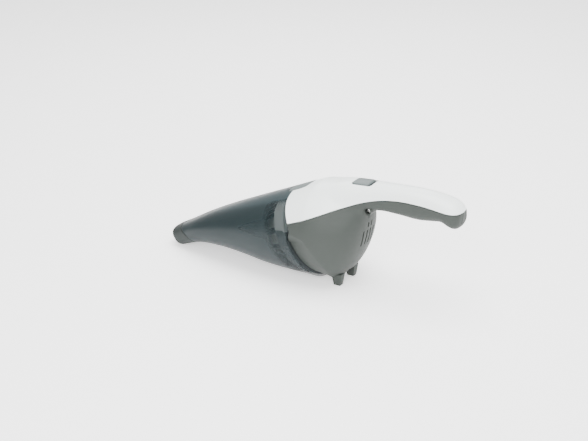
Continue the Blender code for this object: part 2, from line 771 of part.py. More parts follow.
def build_filter():
    """Frame, cloth cup, cage around the cup and the seal behind the flange."""
    front = FILTER_SEAT - 0.0030
    neck = CUP_BASE_RADIUS + 0.0030
    frame = (
        (FILTER_RADIUS, front),
        (FILTER_RADIUS, FILTER_SEAT),
        (neck, FILTER_SEAT),
        (neck, -0.0020),
        (neck - 0.0024, -0.0020),
        (neck - 0.0024, front),
    )
    turned("filter_frame", frame, PALE_GREY, 40)
    tip = front - GAP - FILTER_LENGTH
    base = front - GAP
    cup = (
        (0.0, tip - 0.003),
        (CUP_TIP_RADIUS - 0.004, tip - 0.0024),
        (CUP_TIP_RADIUS, tip),
        (CUP_BASE_RADIUS, base),
        (CUP_BASE_RADIUS - 0.0014, base),
        (CUP_TIP_RADIUS - 0.0014, tip + 0.0004),
        (CUP_TIP_RADIUS - 0.005, tip - 0.0012),
        (0.0, tip - 0.0016),
    )
    turned("filter_cup", cup, CLOTH, 32)
    tip = tip - 0.003 - SCREEN_GAP
    wide = CUP_BASE_RADIUS + SCREEN_GAP
    narrow = CUP_TIP_RADIUS + SCREEN_GAP
    cage = (
        (0.0, tip),
        (narrow - 0.002, tip),
        (narrow, tip + 0.003),
        (wide, base),
        (wide - SCREEN_WALL, base),
        (narrow - SCREEN_WALL, tip + 0.0034),
        (narrow - 0.0028, tip + SCREEN_WALL),
        (0.0, tip + SCREEN_WALL),
    )
    screen = turned("filter_screen", cage, DARK, 40)
    windows = []
    for i in range(10):
        turn = 2.0 * math.pi * (i + 0.5) / 10
        middle = on_axis(0.5 * (tip + base), 0.5 * (wide + narrow), turn)
        window = box("window", (0.030, 0.0130, 0.014), middle)
        radial = on_axis(0.0, 1.0, turn) - AXIS_ORIGIN
        frame_axes = Matrix((AXIS_DIRECTION, radial.cross(AXIS_DIRECTION), radial)).transposed()
        window.rotation_euler = frame_axes.to_euler()
        windows.append(window)
    boolean(screen, place_cutter(joined("screen_windows", windows)))
    seal_radius = FILTER_RADIUS - 0.0020
    seal = FILTER_SEAT + GAP
    ring = (
        (seal_radius, seal),
        (seal_radius, seal + 0.0020),
        (seal_radius - 0.0026, seal + 0.0020),
        (seal_radius - 0.0026, seal),
    )
    turned("filter_seal", ring, RUBBER, 40)


# ---- motor and fan -----------------------------------------------------------------------------


def tube(name, inner, outer, start, end, material, steps=32):
    """A turned ring, or a plain rod where inner is zero."""
    profile = ((inner, end), (outer, end), (outer, start), (inner, start))
    return turned(name, profile, material, steps)


def build_fan():
    """Back plate, hub and blades, pressed on the shaft."""
    back = SHROUD_BACK - 0.0035
    bore = SHAFT_RADIUS + GAP
    profile = (
        (FAN_RADIUS, back),
        (FAN_RADIUS, back - 0.0016),
        (0.0065, back - 0.0016),
        (0.0055, back - 0.0100),
        (bore, back - 0.0100),
        (bore, back),
    )
    fan = turned("fan", profile, DARK, 36)
    blades = []
    for i in range(FAN_BLADES):
        turn = 2.0 * math.pi * i / FAN_BLADES
        blade = box("blade", (0.0180, 0.0012, 0.0080), on_axis(back - 0.0052, 0.0185, turn))
        radial = (on_axis(0.0, 1.0, turn) - AXIS_ORIGIN).normalized()
        swept = Matrix.Rotation(math.radians(28.0), 3, AXIS_DIRECTION) @ radial
        frame = Matrix((swept, AXIS_DIRECTION.cross(swept), AXIS_DIRECTION)).transposed()
        blade.rotation_euler = frame.to_euler()
        blades.append(blade)
    boolean(fan, place_cutter(joined("fan_blades", blades)), "UNION")


def build_motor():
    back = MOTOR_FRONT + MOTOR_LENGTH
    bore = SHAFT_RADIUS + GAP
    wall = 0.0016
    shroud = (
        (SHROUD_RADIUS, SHROUD_BACK),
        (SHROUD_RADIUS, SHROUD_FRONT),
        (0.0150, SHROUD_FRONT),
        (0.0150, SHROUD_FRONT + wall),
        (SHROUD_RADIUS - wall, SHROUD_FRONT + wall),
        (SHROUD_RADIUS - wall, SHROUD_BACK),
    )
    turned("fan_shroud", shroud, PALE_GREY, 40)
    tube("motor_can", bore, MOTOR_RADIUS, MOTOR_FRONT, back, STEEL, 36)
    tube("motor_end_cap", bore, MOTOR_RADIUS - 0.003, back + GAP, back + 0.0040, DARK, 32)
    tube("motor_shaft", 0.0, SHAFT_RADIUS, SHROUD_BACK - 0.0150, back + 0.0065, STEEL, 16)
    inner = MOTOR_RADIUS + GAP
    outer = inner + MOUNT_WALL
    front_mount = MOTOR_FRONT + 0.0030
    rear_mount = back - 0.0090
    tube("motor_mount_front", inner, outer, front_mount, front_mount + 0.006, RUBBER, 32)
    tube("motor_mount_rear", inner, outer, rear_mount, rear_mount + 0.006, RUBBER, 32)
    sleeve = outer + GAP
    tube("motor_sleeve", sleeve, sleeve + SLEEVE_WALL, front_mount - 0.001, rear_mount + 0.007, PALE_GREY, 36)


# ---- battery, board and switch -----------------------------------------------------------------


def build_battery():
    for number, (x, z) in enumerate(CELL_PLACES, start=1):
        cell = cylinder(f"battery_cell_{number}", CELL_RADIUS, CELL_LENGTH, (x, 0.0, z), "Y", 24)
        place(bevel(cell, 0.0006, 1), CELL_WRAP, (x, 0.0, z))
    (x1, z1), (x2, z2) = CELL_PLACES
    middle = (0.5 * (x1 + x2), 0.0, 0.5 * (z1 + z2))
    slope = math.atan2(z2 - z1, x2 - x1)
    span = math.hypot(x2 - x1, z2 - z1)
    for side, name in ((-1, "cell_clip_left"), (1, "cell_clip_right")):
        y = side * (CELL_LENGTH / 2 + GAP + 0.0008)
        place_at = (middle[0], y, middle[2])
        clip = box(name, (span + CELL_RADIUS, 0.0016, CELL_RADIUS * 1.4), place_at, (0.0, -slope, 0.0))
        place(bevel(clip, 0.0004, 1), STEEL, place_at)


def build_electronics():
    board_at = (0.118, 0.0, 0.1115)
    board = box("circuit_board", (0.040, 0.0200, 0.0016), board_at)
    place(board, BOARD, board_at, smooth=False)
    switch_z = smooth_curve(HANDLE_STATIONS, SLIDER_X) - WALL - SLIDER_THICKNESS - 0.0075
    switch_at = (SLIDER_X, 0.0, float(switch_z))
    switch = box("micro_switch", (0.0130, 0.0070, 0.0065), switch_at)
    place(bevel(switch, 0.0004, 1), DARK, switch_at)


def bay_frame():
    along = Vector((math.cos(BAY_SLOPE), 0.0, math.sin(BAY_SLOPE)))
    outward = Vector((math.sin(BAY_SLOPE), 0.0, -math.cos(BAY_SLOPE)))
    return Vector((BAY_X, 0.0, BAY_Z)), along, outward


def build_charge_bay():
    """Dark tray between the feet, open to the rear and down, with two spring contacts."""
    centre, along, outward = bay_frame()
    turn = (0.0, -BAY_SLOPE, 0.0)
    size = (BAY_LENGTH - 2 * GAP, BAY_WIDTH - 2 * GAP, BAY_DEPTH)
    tray_at = centre - outward * (BAY_DEPTH / 2 + 0.0004)
    tray = place(box("charge_bay", size, tray_at, turn), DARK, tray_at, smooth=False)
    hollow_at = tray_at + outward * BAY_WALL
    hollow_size = (size[0] - 2 * BAY_WALL, size[1] - 2 * BAY_WALL, BAY_DEPTH)
    boolean(tray, place_cutter(box("bay_hollow", hollow_size, hollow_at, turn)))
    floor = tray_at - outward * (BAY_DEPTH / 2 - BAY_WALL)
    for side, name in ((-1, "charge_contact_left"), (1, "charge_contact_right")):
        contact_at = floor + outward * (GAP + 0.0008) + Vector((0.0, side * 0.0042, 0.0))
        contact = box(name, (0.0090, 0.0028, 0.0016), contact_at, turn)
        place(bevel(contact, 0.0003, 1), BRASS, contact_at)


# ---- housing -----------------------------------------------------------------------------------


def housing_rows(count):
    """Stations along X, closer together where the rear wall is steep and at the heel."""
    dense = np.linspace(0.0, SKIN_END, 400)
    bottom = skin_point(dense, np.full(dense.shape, math.pi))[:, 2]
    top = skin_point(dense, np.zeros(dense.shape))[:, 2]
    pull = 0.7 * np.abs(np.diff(bottom)) + 0.5 * np.abs(np.diff(top)) + np.diff(dense)
    path = np.concatenate(([0.0], np.cumsum(pull)))
    return np.interp(np.linspace(0.0, path[-1], count), path, dense) / SKIN_END


def half_front(z):
    """Front edge of the grey halves, behind the bowl's edge."""
    return bowl_edge(z) + BOWL_GAP + np.interp(z, *zip(*STEP_EASE))


def build_half(name, side):
    """One grey half of the housing and of the handle's underside."""
    shares = np.linspace(0.0, 1.0, 14)
    rows = housing_rows(38)[:, None]
    start = np.zeros(shares.shape)
    for _ in range(12):
        x = start + (SKIN_END - start) * rows
        first = angle_at_height(x, smooth_curve(SPLIT_LINE, x) - PANEL_GAP)
        angles = first + (math.pi - first) * shares
        start = 0.5 * start + 0.5 * half_front(near_height(x[0], angles[0]))
    grid = skin_point(x, angles)
    direction = skin_normal(grid)
    outer = grid - direction * recess_depth(grid)[..., None]
    outer[:, -1, 1] = GAP / 2
    direction[:, -1, 1] = 0.0
    outer[..., 1] *= side
    direction[..., 1] *= side
    half = place(shell_from_skin(name, outer, direction, WALL, capped=True), GREY)
    add_foot(half, side)
    cut_bay(half, name)
    cut_vents(half, side)
    return half


def add_foot(half, side):
    height = 0.0150
    foot_at = (FOOT_X, side * FOOT_Y, height / 2)
    foot = box(f"{half.name}_foot", (FOOT_LENGTH * 1.5, FOOT_WIDTH * 1.3, height), foot_at, None, 0.66)
    boolean(half, place_cutter(foot), "UNION")


def cut_bay(half, name):
    centre, along, outward = bay_frame()
    size = (BAY_LENGTH, BAY_WIDTH, 2.0 * BAY_DEPTH + 0.012)
    cut_at = centre + outward * 0.0055
    boolean(half, place_cutter(box(f"{name}_bay", size, cut_at, (0.0, -BAY_SLOPE, 0.0))))


def cut_vents(half, side):
    """Air outlets in the rear wall: long slots, and a short one above them."""
    slots = []
    for y, z, length in VENT_SLOTS:
        middle = (VENT_X, side * y, z)
        slots.append(box("slot", (VENT_REACH, VENT_WIDTH, length), middle, (0.0, VENT_LEAN, 0.0)))
    boolean(half, place_cutter(joined(f"{half.name}_vents", slots)))


def add_root_screw(left, right):
    """Screw through both halves under the handle root, deep in a round recess."""
    x, z = ROOT_SCREW_X, ROOT_SCREW_Z
    boss = cylinder("left_boss", 0.0050, 0.0160, (x, -0.0083, z), "Y", 20)
    boolean(left, place_cutter(boss), "UNION")
    recess = cylinder("screw_recess", SCREW_HEAD + 0.0006, 0.0300, (x, -0.0250, z), "Y", 20)
    boolean(left, place_cutter(recess))
    hole = cylinder("screw_hole", SCREW_SHANK + GAP, 0.0300, (x, -0.0090, z), "Y", 16)
    boolean(left, place_cutter(hole))
    nut = cylinder("right_boss", 0.0040, 0.0160, (x, 0.0083, z), "Y", 20)
    boolean(right, place_cutter(nut), "UNION")
    blind = cylinder("screw_blind", SCREW_SHANK + GAP, 0.0240, (x, 0.0, z), "Y", 16)
    boolean(right, place_cutter(blind))
    screw("screw_root", (x, -0.0101, z), 0.0170)


def screw(name, head_at, length):
    """Pan head on the -Y side and a shank towards +Y, as one turned profile."""
    mesh = bpy.data.meshes.new(name)
    points = (
        (0.0, 0.0, 0.0022),
        (SCREW_HEAD * 0.7, 0.0, 0.0020),
        (SCREW_HEAD, 0.0, 0.0010),
        (SCREW_HEAD, 0.0, 0.0002),
        (SCREW_SHANK, 0.0, 0.0002),
        (SCREW_SHANK, 0.0, 0.0010 - length),
        (0.0, 0.0, -length),
    )
    mesh.from_pydata(points, [(i, i + 1) for i in range(len(points) - 1)], [])
    obj = bpy.data.objects.new(name, mesh)
    turn = obj.modifiers.new("turn", "SCREW")
    turn.steps = 20
    turn.render_steps = 20
    turn.use_merge_vertices = True
    turn.merge_threshold = 0.00001
    place(obj, STEEL, head_at, smooth=False)
    obj.rotation_euler = (math.pi / 2, 0.0, 0.0)
    return obj


def latch_reach(across, margin=0.0):
    """Half length of the release button at a share of its half width."""
    share = (1.0 - np.abs(across) ** LATCH_SQUARENESS) ** (1.0 / LATCH_SQUARENESS)
    return (LATCH_HALF_LENGTH + margin) * share


def latch_prism(name, margin):
    """Upright prism with the outline of the release button, larger by a margin."""
    turn = full_turn(40)
    across = np.sign(np.sin(turn)) * np.abs(np.sin(turn)) ** (2.0 / LATCH_SQUARENESS)
    x = LATCH_CENTRE + np.sign(np.cos(turn)) * latch_reach(across, margin)
    y = (LATCH_HALF_WIDTH + margin) * across
    bm = bmesh.new()
    levels = (LATCH_CUT_BOTTOM, LATCH_CUT_TOP)
    rings = [[bm.verts.new((px, py, level)) for px, py in zip(x, y)] for level in levels]
    grid_faces(bm, rings, close_columns=True)
    for ring in rings:
        bm.faces.new(ring)
    return finish_mesh(name, bm)


def build_top_cover():
    """White cover from the bowl's edge to the end of the handle."""
    shares = np.linspace(-1.0, 1.0, 25)
    rows = housing_rows(36)[:, None]
    start = np.full(shares.shape, -0.010)
    for _ in range(20):
        x = start + (COVER_END - start) * rows
        angles = angle_at_height(x, smooth_curve(SPLIT_LINE, x)) * shares
        edge = bowl_edge(near_height(x[0], angles[0])) + BOWL_GAP + COVER_SET_BACK
        start = 0.5 * start + 0.5 * edge
    grid = skin_point(x, angles)
    cover = place(shell_from_skin("top_cover", grid, skin_normal(grid), WALL), WHITE)
    boolean(cover, place_cutter(latch_prism("cover_notch", PANEL_GAP)))
    window_length = SLIDER_LENGTH + SLIDER_TRAVEL + 2 * PANEL_GAP
    window = box(
        "slider_window",
        (window_length, SLIDER_WIDTH + 2 * PANEL_GAP, 0.030),
        (SLIDER_X + SLIDER_TRAVEL / 2, 0.0, 0.125),
    )
    round_upright_edges(window, SLIDER_CORNER)
    boolean(cover, place_cutter(window))
    return cover


def build_latch():
    """Release button: a patch of the skin with upright sides, so that it can travel down."""
    across = np.sin(np.linspace(-math.pi / 2, math.pi / 2, 21))
    shares = np.linspace(-1.0, 1.0, 9)[:, None]
    x = LATCH_CENTRE + latch_reach(across) * shares
    y = np.broadcast_to(LATCH_HALF_WIDTH * across, x.shape)
    grid = np.stack((x, y, top_height(x, y)), axis=-1)
    up = np.zeros(grid.shape)
    up[..., 2] = 1.0
    thicken = smooth_step(LATCH_LIP_END, LATCH_LIP_END + 0.003, x)
    wall = LATCH_LIP + (LATCH_THICKNESS - LATCH_LIP) * thicken
    place(shell_from_skin("release_button", grid, up, wall[..., None]), PALE_GREY)
    build_latch_spring()


def top_height(x, y):
    """Height of the upper skin at x and y."""
    x, y = np.broadcast_arrays(np.asarray(x, float), np.asarray(y, float))
    low = ray_centre(x)
    high = low + 0.09
    for _ in range(36):
        middle = 0.5 * (low + high)
        inside = skin_distance(x, y, middle) < 0.0
        low = np.where(inside, middle, low)
        high = np.where(inside, high, middle)
    return low


def build_latch_spring():
    """Coil between the collar's seat and the release button."""
    bottom = SPRING_SEAT_TOP + SPRING_WIRE + GAP / 2
    top = float(top_height(SPRING_X, 0.0)) - LATCH_THICKNESS - SPRING_WIRE - GAP
    top = top - 0.0006
    curve = bpy.data.curves.new("latch_spring", "CURVE")
    curve.dimensions = "3D"
    curve.bevel_depth = SPRING_WIRE
    curve.bevel_resolution = 1
    curve.use_fill_caps = True
    spline = curve.splines.new("POLY")
    count = 43
    spline.points.add(count - 1)
    for i in range(count):
        share = i / (count - 1)
        turn = 2.0 * math.pi * SPRING_TURNS * share
        point = (SPRING_RADIUS * math.cos(turn), SPRING_RADIUS * math.sin(turn), (top - bottom) * share)
        spline.points[i].co = (*point, 1.0)
    spring = bpy.data.objects.new("latch_spring", curve)
    place(spring, STEEL, (SPRING_X, 0.0, bottom), smooth=False)


def pad_half_width(along):
    """Half width of the switch pad at a share of its length, with rounded corners."""
    end = np.clip((np.abs(2.0 * along - 1.0) - (1.0 - 2.0 * SLIDER_CORNER / SLIDER_LENGTH)), 0.0, None)
    end = end / (2.0 * SLIDER_CORNER / SLIDER_LENGTH)
    return SLIDER_WIDTH / 2 - SLIDER_CORNER * (1.0 - np.sqrt(np.maximum(1.0 - end**2, 0.0)))


def build_slider():
    """Slide switch: a rounded pad that follows the cover's crown, on a stem."""
    shares = np.linspace(-1.0, 1.0, 11)
    along = 0.5 - 0.5 * np.cos(np.linspace(0.0, math.pi, 15))
    half = pad_half_width(along)
    x = (SLIDER_X - SLIDER_LENGTH / 2 + SLIDER_LENGTH * along)[:, None]
    x, y = np.broadcast_arrays(x, half[:, None] * shares)
    crown = SLIDER_PROUD * (1.0 - 0.7 * (np.abs(2.0 * along - 1.0) ** 8)[:, None])
    grid = np.stack((x, y, top_height(x, y) + crown), axis=-1)
    down = np.zeros(grid.shape)
    down[..., 2] = 1.0
    pad = shell_from_skin("power_slider", grid, down, SLIDER_THICKNESS)
    place(pad, PALE_GREY)
    stem_z = float(top_height(SLIDER_X, 0.0)) - SLIDER_THICKNESS - 0.0010
    stem = box("slider_stem", (0.0120, 0.0080, 0.0050), (SLIDER_X, 0.0, stem_z))
    boolean(pad, place_cutter(stem), "UNION")


# ---- assembly ----------------------------------------------------------------------------------

build_dust_bowl()
build_nozzle()
build_inlet_duct()
build_flap()
build_intake_collar()
build_intake_grille()
build_filter()
build_fan()
build_motor()
build_battery()
build_electronics()
build_charge_bay()
left_half = build_half("housing_left", -1)
right_half = build_half("housing_right", 1)
add_root_screw(left_half, right_half)
build_top_cover()
build_latch()
build_slider()
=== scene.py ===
"""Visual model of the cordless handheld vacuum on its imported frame, with studio light and camera."""

import math

import bmesh
import bpy
import numpy as np
from mathutils import Matrix, Vector


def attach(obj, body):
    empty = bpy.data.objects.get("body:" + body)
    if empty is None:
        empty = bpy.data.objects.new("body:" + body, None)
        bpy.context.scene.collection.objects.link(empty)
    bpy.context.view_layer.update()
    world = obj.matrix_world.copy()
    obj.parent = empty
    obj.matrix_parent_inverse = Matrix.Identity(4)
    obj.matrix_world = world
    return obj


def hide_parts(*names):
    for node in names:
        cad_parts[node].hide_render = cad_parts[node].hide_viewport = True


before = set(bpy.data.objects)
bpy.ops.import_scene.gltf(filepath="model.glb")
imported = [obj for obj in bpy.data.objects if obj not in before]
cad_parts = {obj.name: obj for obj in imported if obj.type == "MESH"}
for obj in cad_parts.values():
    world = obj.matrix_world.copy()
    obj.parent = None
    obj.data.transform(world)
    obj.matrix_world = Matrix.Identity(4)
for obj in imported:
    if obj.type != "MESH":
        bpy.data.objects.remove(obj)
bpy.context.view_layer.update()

# Body lobe in front of the dome: x, top, bottom, half width, squareness of the section.
BODY_STATIONS = (
    (-0.206, 0.0140, -0.0120, 0.0190, 2.8),
    (-0.178, 0.0290, 0.0000, 0.0240, 2.7),
    (-0.150, 0.0450, 0.0100, 0.0310, 2.5),
    (-0.115, 0.0625, 0.0130, 0.0385, 2.3),
    (-0.080, 0.0785, 0.0105, 0.0445, 2.2),
    (-0.045, 0.0940, 0.0055, 0.0500, 2.1),
    (-0.010, 0.1090, 0.0035, 0.0540, 2.0),
    (0.015, 0.1170, 0.0030, 0.0550, 2.0),
)
# The dome closes the body behind DOME_START, and its centre climbs towards the handle root.
DOME_START = 0.015
DOME_LENGTH = 0.063
DOME_CENTRE = (
    (0.015, 0.0600),
    (0.033, 0.0590),
    (0.046, 0.0595),
    (0.057, 0.0645),
    (0.066, 0.0720),
    (0.073, 0.0810),
    (0.078, 0.0930),
)
# Handle lobe: x, top, bottom, half width.
HANDLE_STATIONS = (
    (-0.030, 0.0880, 0.0700, 0.0240),
    (0.000, 0.1080, 0.0780, 0.0290),
    (0.020, 0.1180, 0.0840, 0.0285),
    (0.040, 0.1243, 0.0900, 0.0260),
    (0.071, 0.1282, 0.0950, 0.0205),
    (0.096, 0.1300, 0.1000, 0.0182),
    (0.118, 0.1313, 0.0997, 0.0176),
    (0.143, 0.1318, 0.0985, 0.0176),
    (0.162, 0.1305, 0.1008, 0.0176),
    (0.171, 0.1290, 0.1018, 0.0176),
    (0.180, 0.1266, 0.0978, 0.0176),
    (0.186, 0.1236, 0.0966, 0.0176),
    (0.1902, 0.1192, 0.0993, 0.0176),
    (0.1925, 0.1155, 0.1035, 0.0176),
)
HANDLE_SQUARENESS = 2.6
HANDLE_ROUND_START = 0.1745
HANDLE_ROUND_POWER = 3.0
ROOT_FILLET = 0.012
# Centre that the section rays start from, behind the dome's start.
RAY_CENTRE = (
    (0.015, 0.0600),
    (0.040, 0.0660),
    (0.060, 0.0850),
    (0.072, 0.1000),
    (0.085, 0.1130),
    (0.110, 0.1155),
    (0.193, 0.1100),
)
SKIN_END = 0.1923

# The seam between bowl and housing is a plane that leans back towards the floor.
SEAM_X = -0.0018
SEAM_Z = 0.060
SEAM_LEAN = 0.43
# How far the bowl's edge reaches behind the seam plane at each height.
SEAM_STEP = (
    (0.0000, 0.0000),
    (0.0600, 0.0000),
    (0.0640, 0.0014),
    (0.0690, 0.0052),
    (0.0740, 0.0066),
    (0.0880, 0.0040),
    (0.1000, 0.0030),
    (0.1200, 0.0030),
)
# Extra room in front of the halves beside that step in the bowl's edge.
STEP_EASE = ((0.0590, 0.0), (0.0640, 0.0007), (0.0700, 0.0007), (0.0750, 0.0))
# White cover above, grey halves below: x and height of their joint line.
SPLIT_LINE = (
    (-0.020, 0.0730),
    (-0.004, 0.0788),
    (0.011, 0.0843),
    (0.028, 0.0912),
    (0.046, 0.0982),
    (0.064, 0.1050),
    (0.082, 0.1118),
    (0.100, 0.1168),
    (0.123, 0.1198),
    (0.151, 0.1196),
    (0.180, 0.1166),
    (0.1923, 0.1157),
)
COVER_SET_BACK = 0.0003
# Finger recess beside the bowl: height and x of its rear edge.
RECESS_EDGE = (
    (0.0060, 0.0340),
    (0.0117, 0.0388),
    (0.0225, 0.0416),
    (0.0370, 0.0385),
    (0.0493, 0.0322),
    (0.0596, 0.0236),
    (0.0655, 0.0160),
    (0.0680, 0.0030),
)

# Mouth plane of the nozzle, and the rear edge of its band as x over height.
MOUTH_X = -0.178
MOUTH_SLOPE = 0.837
BAND_EDGE = (
    (0.0000, -0.1555),
    (0.0100, -0.1555),
    (0.0155, -0.1565),
    (0.0185, -0.1603),
    (0.0232, -0.1710),
    (0.0263, -0.1790),
    (0.0290, -0.1835),
)

# Nozzle tube and the duct around it, on a straight axis from nose to bowl.
DUCT_START = Vector((-0.176, 0.0, 0.0160))
DUCT_END = Vector((-0.086, 0.0, 0.0470))
TUBE_HALF_WIDTH = 0.0165
TUBE_HALF_HEIGHT = 0.0085
TUBE_WALL = 0.0015
TUBE_START = 0.0130
TUBE_LENGTH = 0.078
TUBE_CORNER = 4.0
DUCT_CLEARANCE = 0.0006
DUCT_WALL = 0.0016
DUCT_FRONT = 0.0240
WALL = 0.0022
BOWL_WALL = 0.0020
PANEL_GAP = 0.0005
BOWL_GAP = 0.0006
NOSE_GAP = 0.0009
COLLAR_INSET = 0.0028
COLLAR_WALL = 0.0022
COLLAR_DEPTH = 0.0160
FILTER_RADIUS = 0.0430
FILTER_SEAT = -0.0110
LATCH_CENTRE = -0.0123
LATCH_HALF_LENGTH = 0.0135
LATCH_HALF_WIDTH = 0.0145
LATCH_SQUARENESS = 3.6
SLIDER_X = 0.0685
SLIDER_LENGTH = 0.0220
SLIDER_WIDTH = 0.0210
SLIDER_CORNER = 0.0045
SLIDER_TRAVEL = 0.0035
SLIDER_PROUD = 0.0008
ROOT_SCREW_X = 0.0820
ROOT_SCREW_Z = 0.0996
# Foot under the housing.
FOOT_X = 0.0435
FOOT_Y = 0.0155
FOOT_SIZE = (0.0135, 0.0104, 0.0150)
FOOT_ROUND = 0.0008
FOOT_TAPER = 0.66
# Charging bay, cut square to the sloping wall between the feet.
BAY_SIZE = (0.0190, 0.0180, 0.0220)
BAY_AT = (0.0475 + 0.0055 * 0.6947, 0.0, 0.0135 - 0.0055 * 0.7193)
BAY_TURN = -math.radians(44.0)
BAY_ROUND = 0.0002
# Air outlet slots at the back: y, z and length of each.
VENT_SLOTS = ((0.0036, 0.0620, 0.0200), (0.0108, 0.0620, 0.0200), (0.0036, 0.0790, 0.0070))
VENT_X = 0.0725
VENT_REACH = 0.026
VENT_WIDTH = 0.0022
VENT_TURN = math.radians(14.0)
VENT_ROUND = 0.0006
# Boss around the screw beside the handle root, and the recess in it.
BOSS_RADIUS = 0.0050
BOSS_OUT = -0.0163
BOSS_IN = -0.0003
RECESS_RADIUS = 0.0036
RECESS_OUT = -0.0400
RECESS_FLOOR = -0.0100
CENTRE_SHIFT = np.array((0.0012, 0.0, 0.0))
AXIS_DIRECTION = Vector((1.0, 0.0, SEAM_LEAN)).normalized()
AXIS_ORIGIN = Vector((SEAM_X, 0.0, SEAM_Z))


# ---- outer skin --------------------------------------------------------------------------------


def smooth_curve(points, x, column=1):
    """Cubic curve through the points, flat in curvature between them as a bent batten is."""
    knots = np.array([point[0] for point in points])
    values = np.array([point[column] for point in points])
    steps = np.diff(knots)
    slopes = np.diff(values) / steps
    tangents = np.concatenate(([slopes[0]], slopes, [slopes[-1]]))
    before = np.concatenate(([1.0], steps))
    after = np.concatenate((steps, [1.0]))
    tangents = (tangents[:-1] * after + tangents[1:] * before) / (before + after)
    x = np.clip(np.asarray(x, float), knots[0], knots[-1])
    i = np.clip(np.searchsorted(knots, x, side="right") - 1, 0, len(steps) - 1)
    t = (x - knots[i]) / steps[i]
    rise = values[i + 1] - values[i]
    start = tangents[i] * steps[i]
    end = tangents[i + 1] * steps[i]
    return values[i] + t * (start + t * ((3 * rise - 2 * start - end) + t * (start + end - 2 * rise)))


def smooth_step(low, high, value):
    t = np.clip((value - low) / (high - low), 0.0, 1.0)
    return t * t * (3.0 - 2.0 * t)


def lobe(y, z, half_width, half_height, centre, power):
    """About the distance from a rounded section: negative inside it."""
    reach = (np.abs(y) / half_width) ** power + (np.abs(z - centre) / half_height) ** power
    return (reach ** (1.0 / power) - 1.0) * np.minimum(half_width, half_height)


def body_lobe(x, y, z):
    front = np.minimum(x, DOME_START)
    top = smooth_curve(BODY_STATIONS, front, 1)
    bottom = smooth_curve(BODY_STATIONS, front, 2)
    dome = np.clip((x - DOME_START) / DOME_LENGTH, 0.0, 0.99999)
    shrink = np.sqrt(1.0 - dome**2)
    half_width = smooth_curve(BODY_STATIONS, front, 3) * shrink
    half_height = 0.5 * (top - bottom) * shrink
    centre = np.where(x < DOME_START, 0.5 * (top + bottom), smooth_curve(DOME_CENTRE, x))
    power = smooth_curve(BODY_STATIONS, front, 4)
    section = lobe(y, z, half_width, half_height, centre, power)
    beyond = np.maximum(x - DOME_START - DOME_LENGTH, 0.0)
    return np.where(beyond > 0.0, np.sqrt(beyond**2 + np.maximum(section, 0.0) ** 2), section)


def handle_lobe(x, y, z):
    top = smooth_curve(HANDLE_STATIONS, x, 1)
    bottom = smooth_curve(HANDLE_STATIONS, x, 2)
    turn = np.clip((x - HANDLE_ROUND_START) / (HANDLE_STATIONS[-1][0] - HANDLE_ROUND_START), 0.0, 0.9999)
    shrink = (1.0 - turn**HANDLE_ROUND_POWER) ** (1.0 / HANDLE_ROUND_POWER)
    half_width = smooth_curve(HANDLE_STATIONS, x, 3) * shrink
    return lobe(y, z, half_width, 0.5 * (top - bottom), 0.5 * (top + bottom), HANDLE_SQUARENESS)


def skin_distance(x, y, z):
    """Negative inside the outer skin, zero on it: both lobes joined by a fillet."""
    body = body_lobe(x, y, z)
    handle = handle_lobe(x, y, z)
    blend = np.maximum(ROOT_FILLET - np.abs(body - handle), 0.0) / ROOT_FILLET
    joined = np.minimum(body, handle) - 0.25 * ROOT_FILLET * blend**2
    return np.where(x < HANDLE_STATIONS[0][0], body, joined)


def ray_centre(x):
    top = smooth_curve(BODY_STATIONS, np.minimum(x, DOME_START), 1)
    bottom = smooth_curve(BODY_STATIONS, np.minimum(x, DOME_START), 2)
    return np.where(x < DOME_START, 0.5 * (top + bottom), smooth_curve(RAY_CENTRE, x))


def skin_point(x, angle):
    """Point of the skin at x on the ray at this angle from straight up, positive towards +Y."""
    x, angle = np.broadcast_arrays(np.asarray(x, float), np.asarray(angle, float))
    centre = ray_centre(x)
    low = np.zeros(x.shape)
    high = np.full(x.shape, 0.09)
    for _ in range(36):
        middle = 0.5 * (low + high)
        inside = skin_distance(x, middle * np.sin(angle), centre + middle * np.cos(angle)) < 0.0
        low = np.where(inside, middle, low)
        high = np.where(inside, high, middle)
    return np.stack((x, low * np.sin(angle), centre + low * np.cos(angle)), axis=-1)


def skin_normal(points):
    step = 1e-5
    x, y, z = points[..., 0], points[..., 1], points[..., 2]
    slope = [
        skin_distance(x + step * dx, y + step * dy, z + step * dz)
        - skin_distance(x - step * dx, y - step * dy, z - step * dz)
        for dx, dy, dz in ((1, 0, 0), (0, 1, 0), (0, 0, 1))
    ]
    normal = np.stack(slope, axis=-1)
    return normal / np.linalg.norm(normal, axis=-1, keepdims=True)


TABLE_X = np.linspace(BODY_STATIONS[0][0], SKIN_END, 420)
TABLE_ANGLE = np.linspace(0.0, math.pi, 181)
TABLE_HEIGHT = skin_point(TABLE_X[:, None], TABLE_ANGLE[None, :])[..., 2]


def near_height(x, angle):
    """Height of the skin at x and angle, read between the computed sections."""
    folded = np.abs((angle + math.pi) % (2.0 * math.pi) - math.pi)
    along = (np.clip(x, TABLE_X[0], TABLE_X[-1]) - TABLE_X[0]) / (TABLE_X[1] - TABLE_X[0])
    around = folded / TABLE_ANGLE[1]
    i = np.minimum(along.astype(int), len(TABLE_X) - 2)
    j = np.minimum(around.astype(int), len(TABLE_ANGLE) - 2)
    s, t = along - i, around - j
    near = TABLE_HEIGHT[i, j] * (1 - t) + TABLE_HEIGHT[i, j + 1] * t
    far = TABLE_HEIGHT[i + 1, j] * (1 - t) + TABLE_HEIGHT[i + 1, j + 1] * t
    return near * (1 - s) + far * s


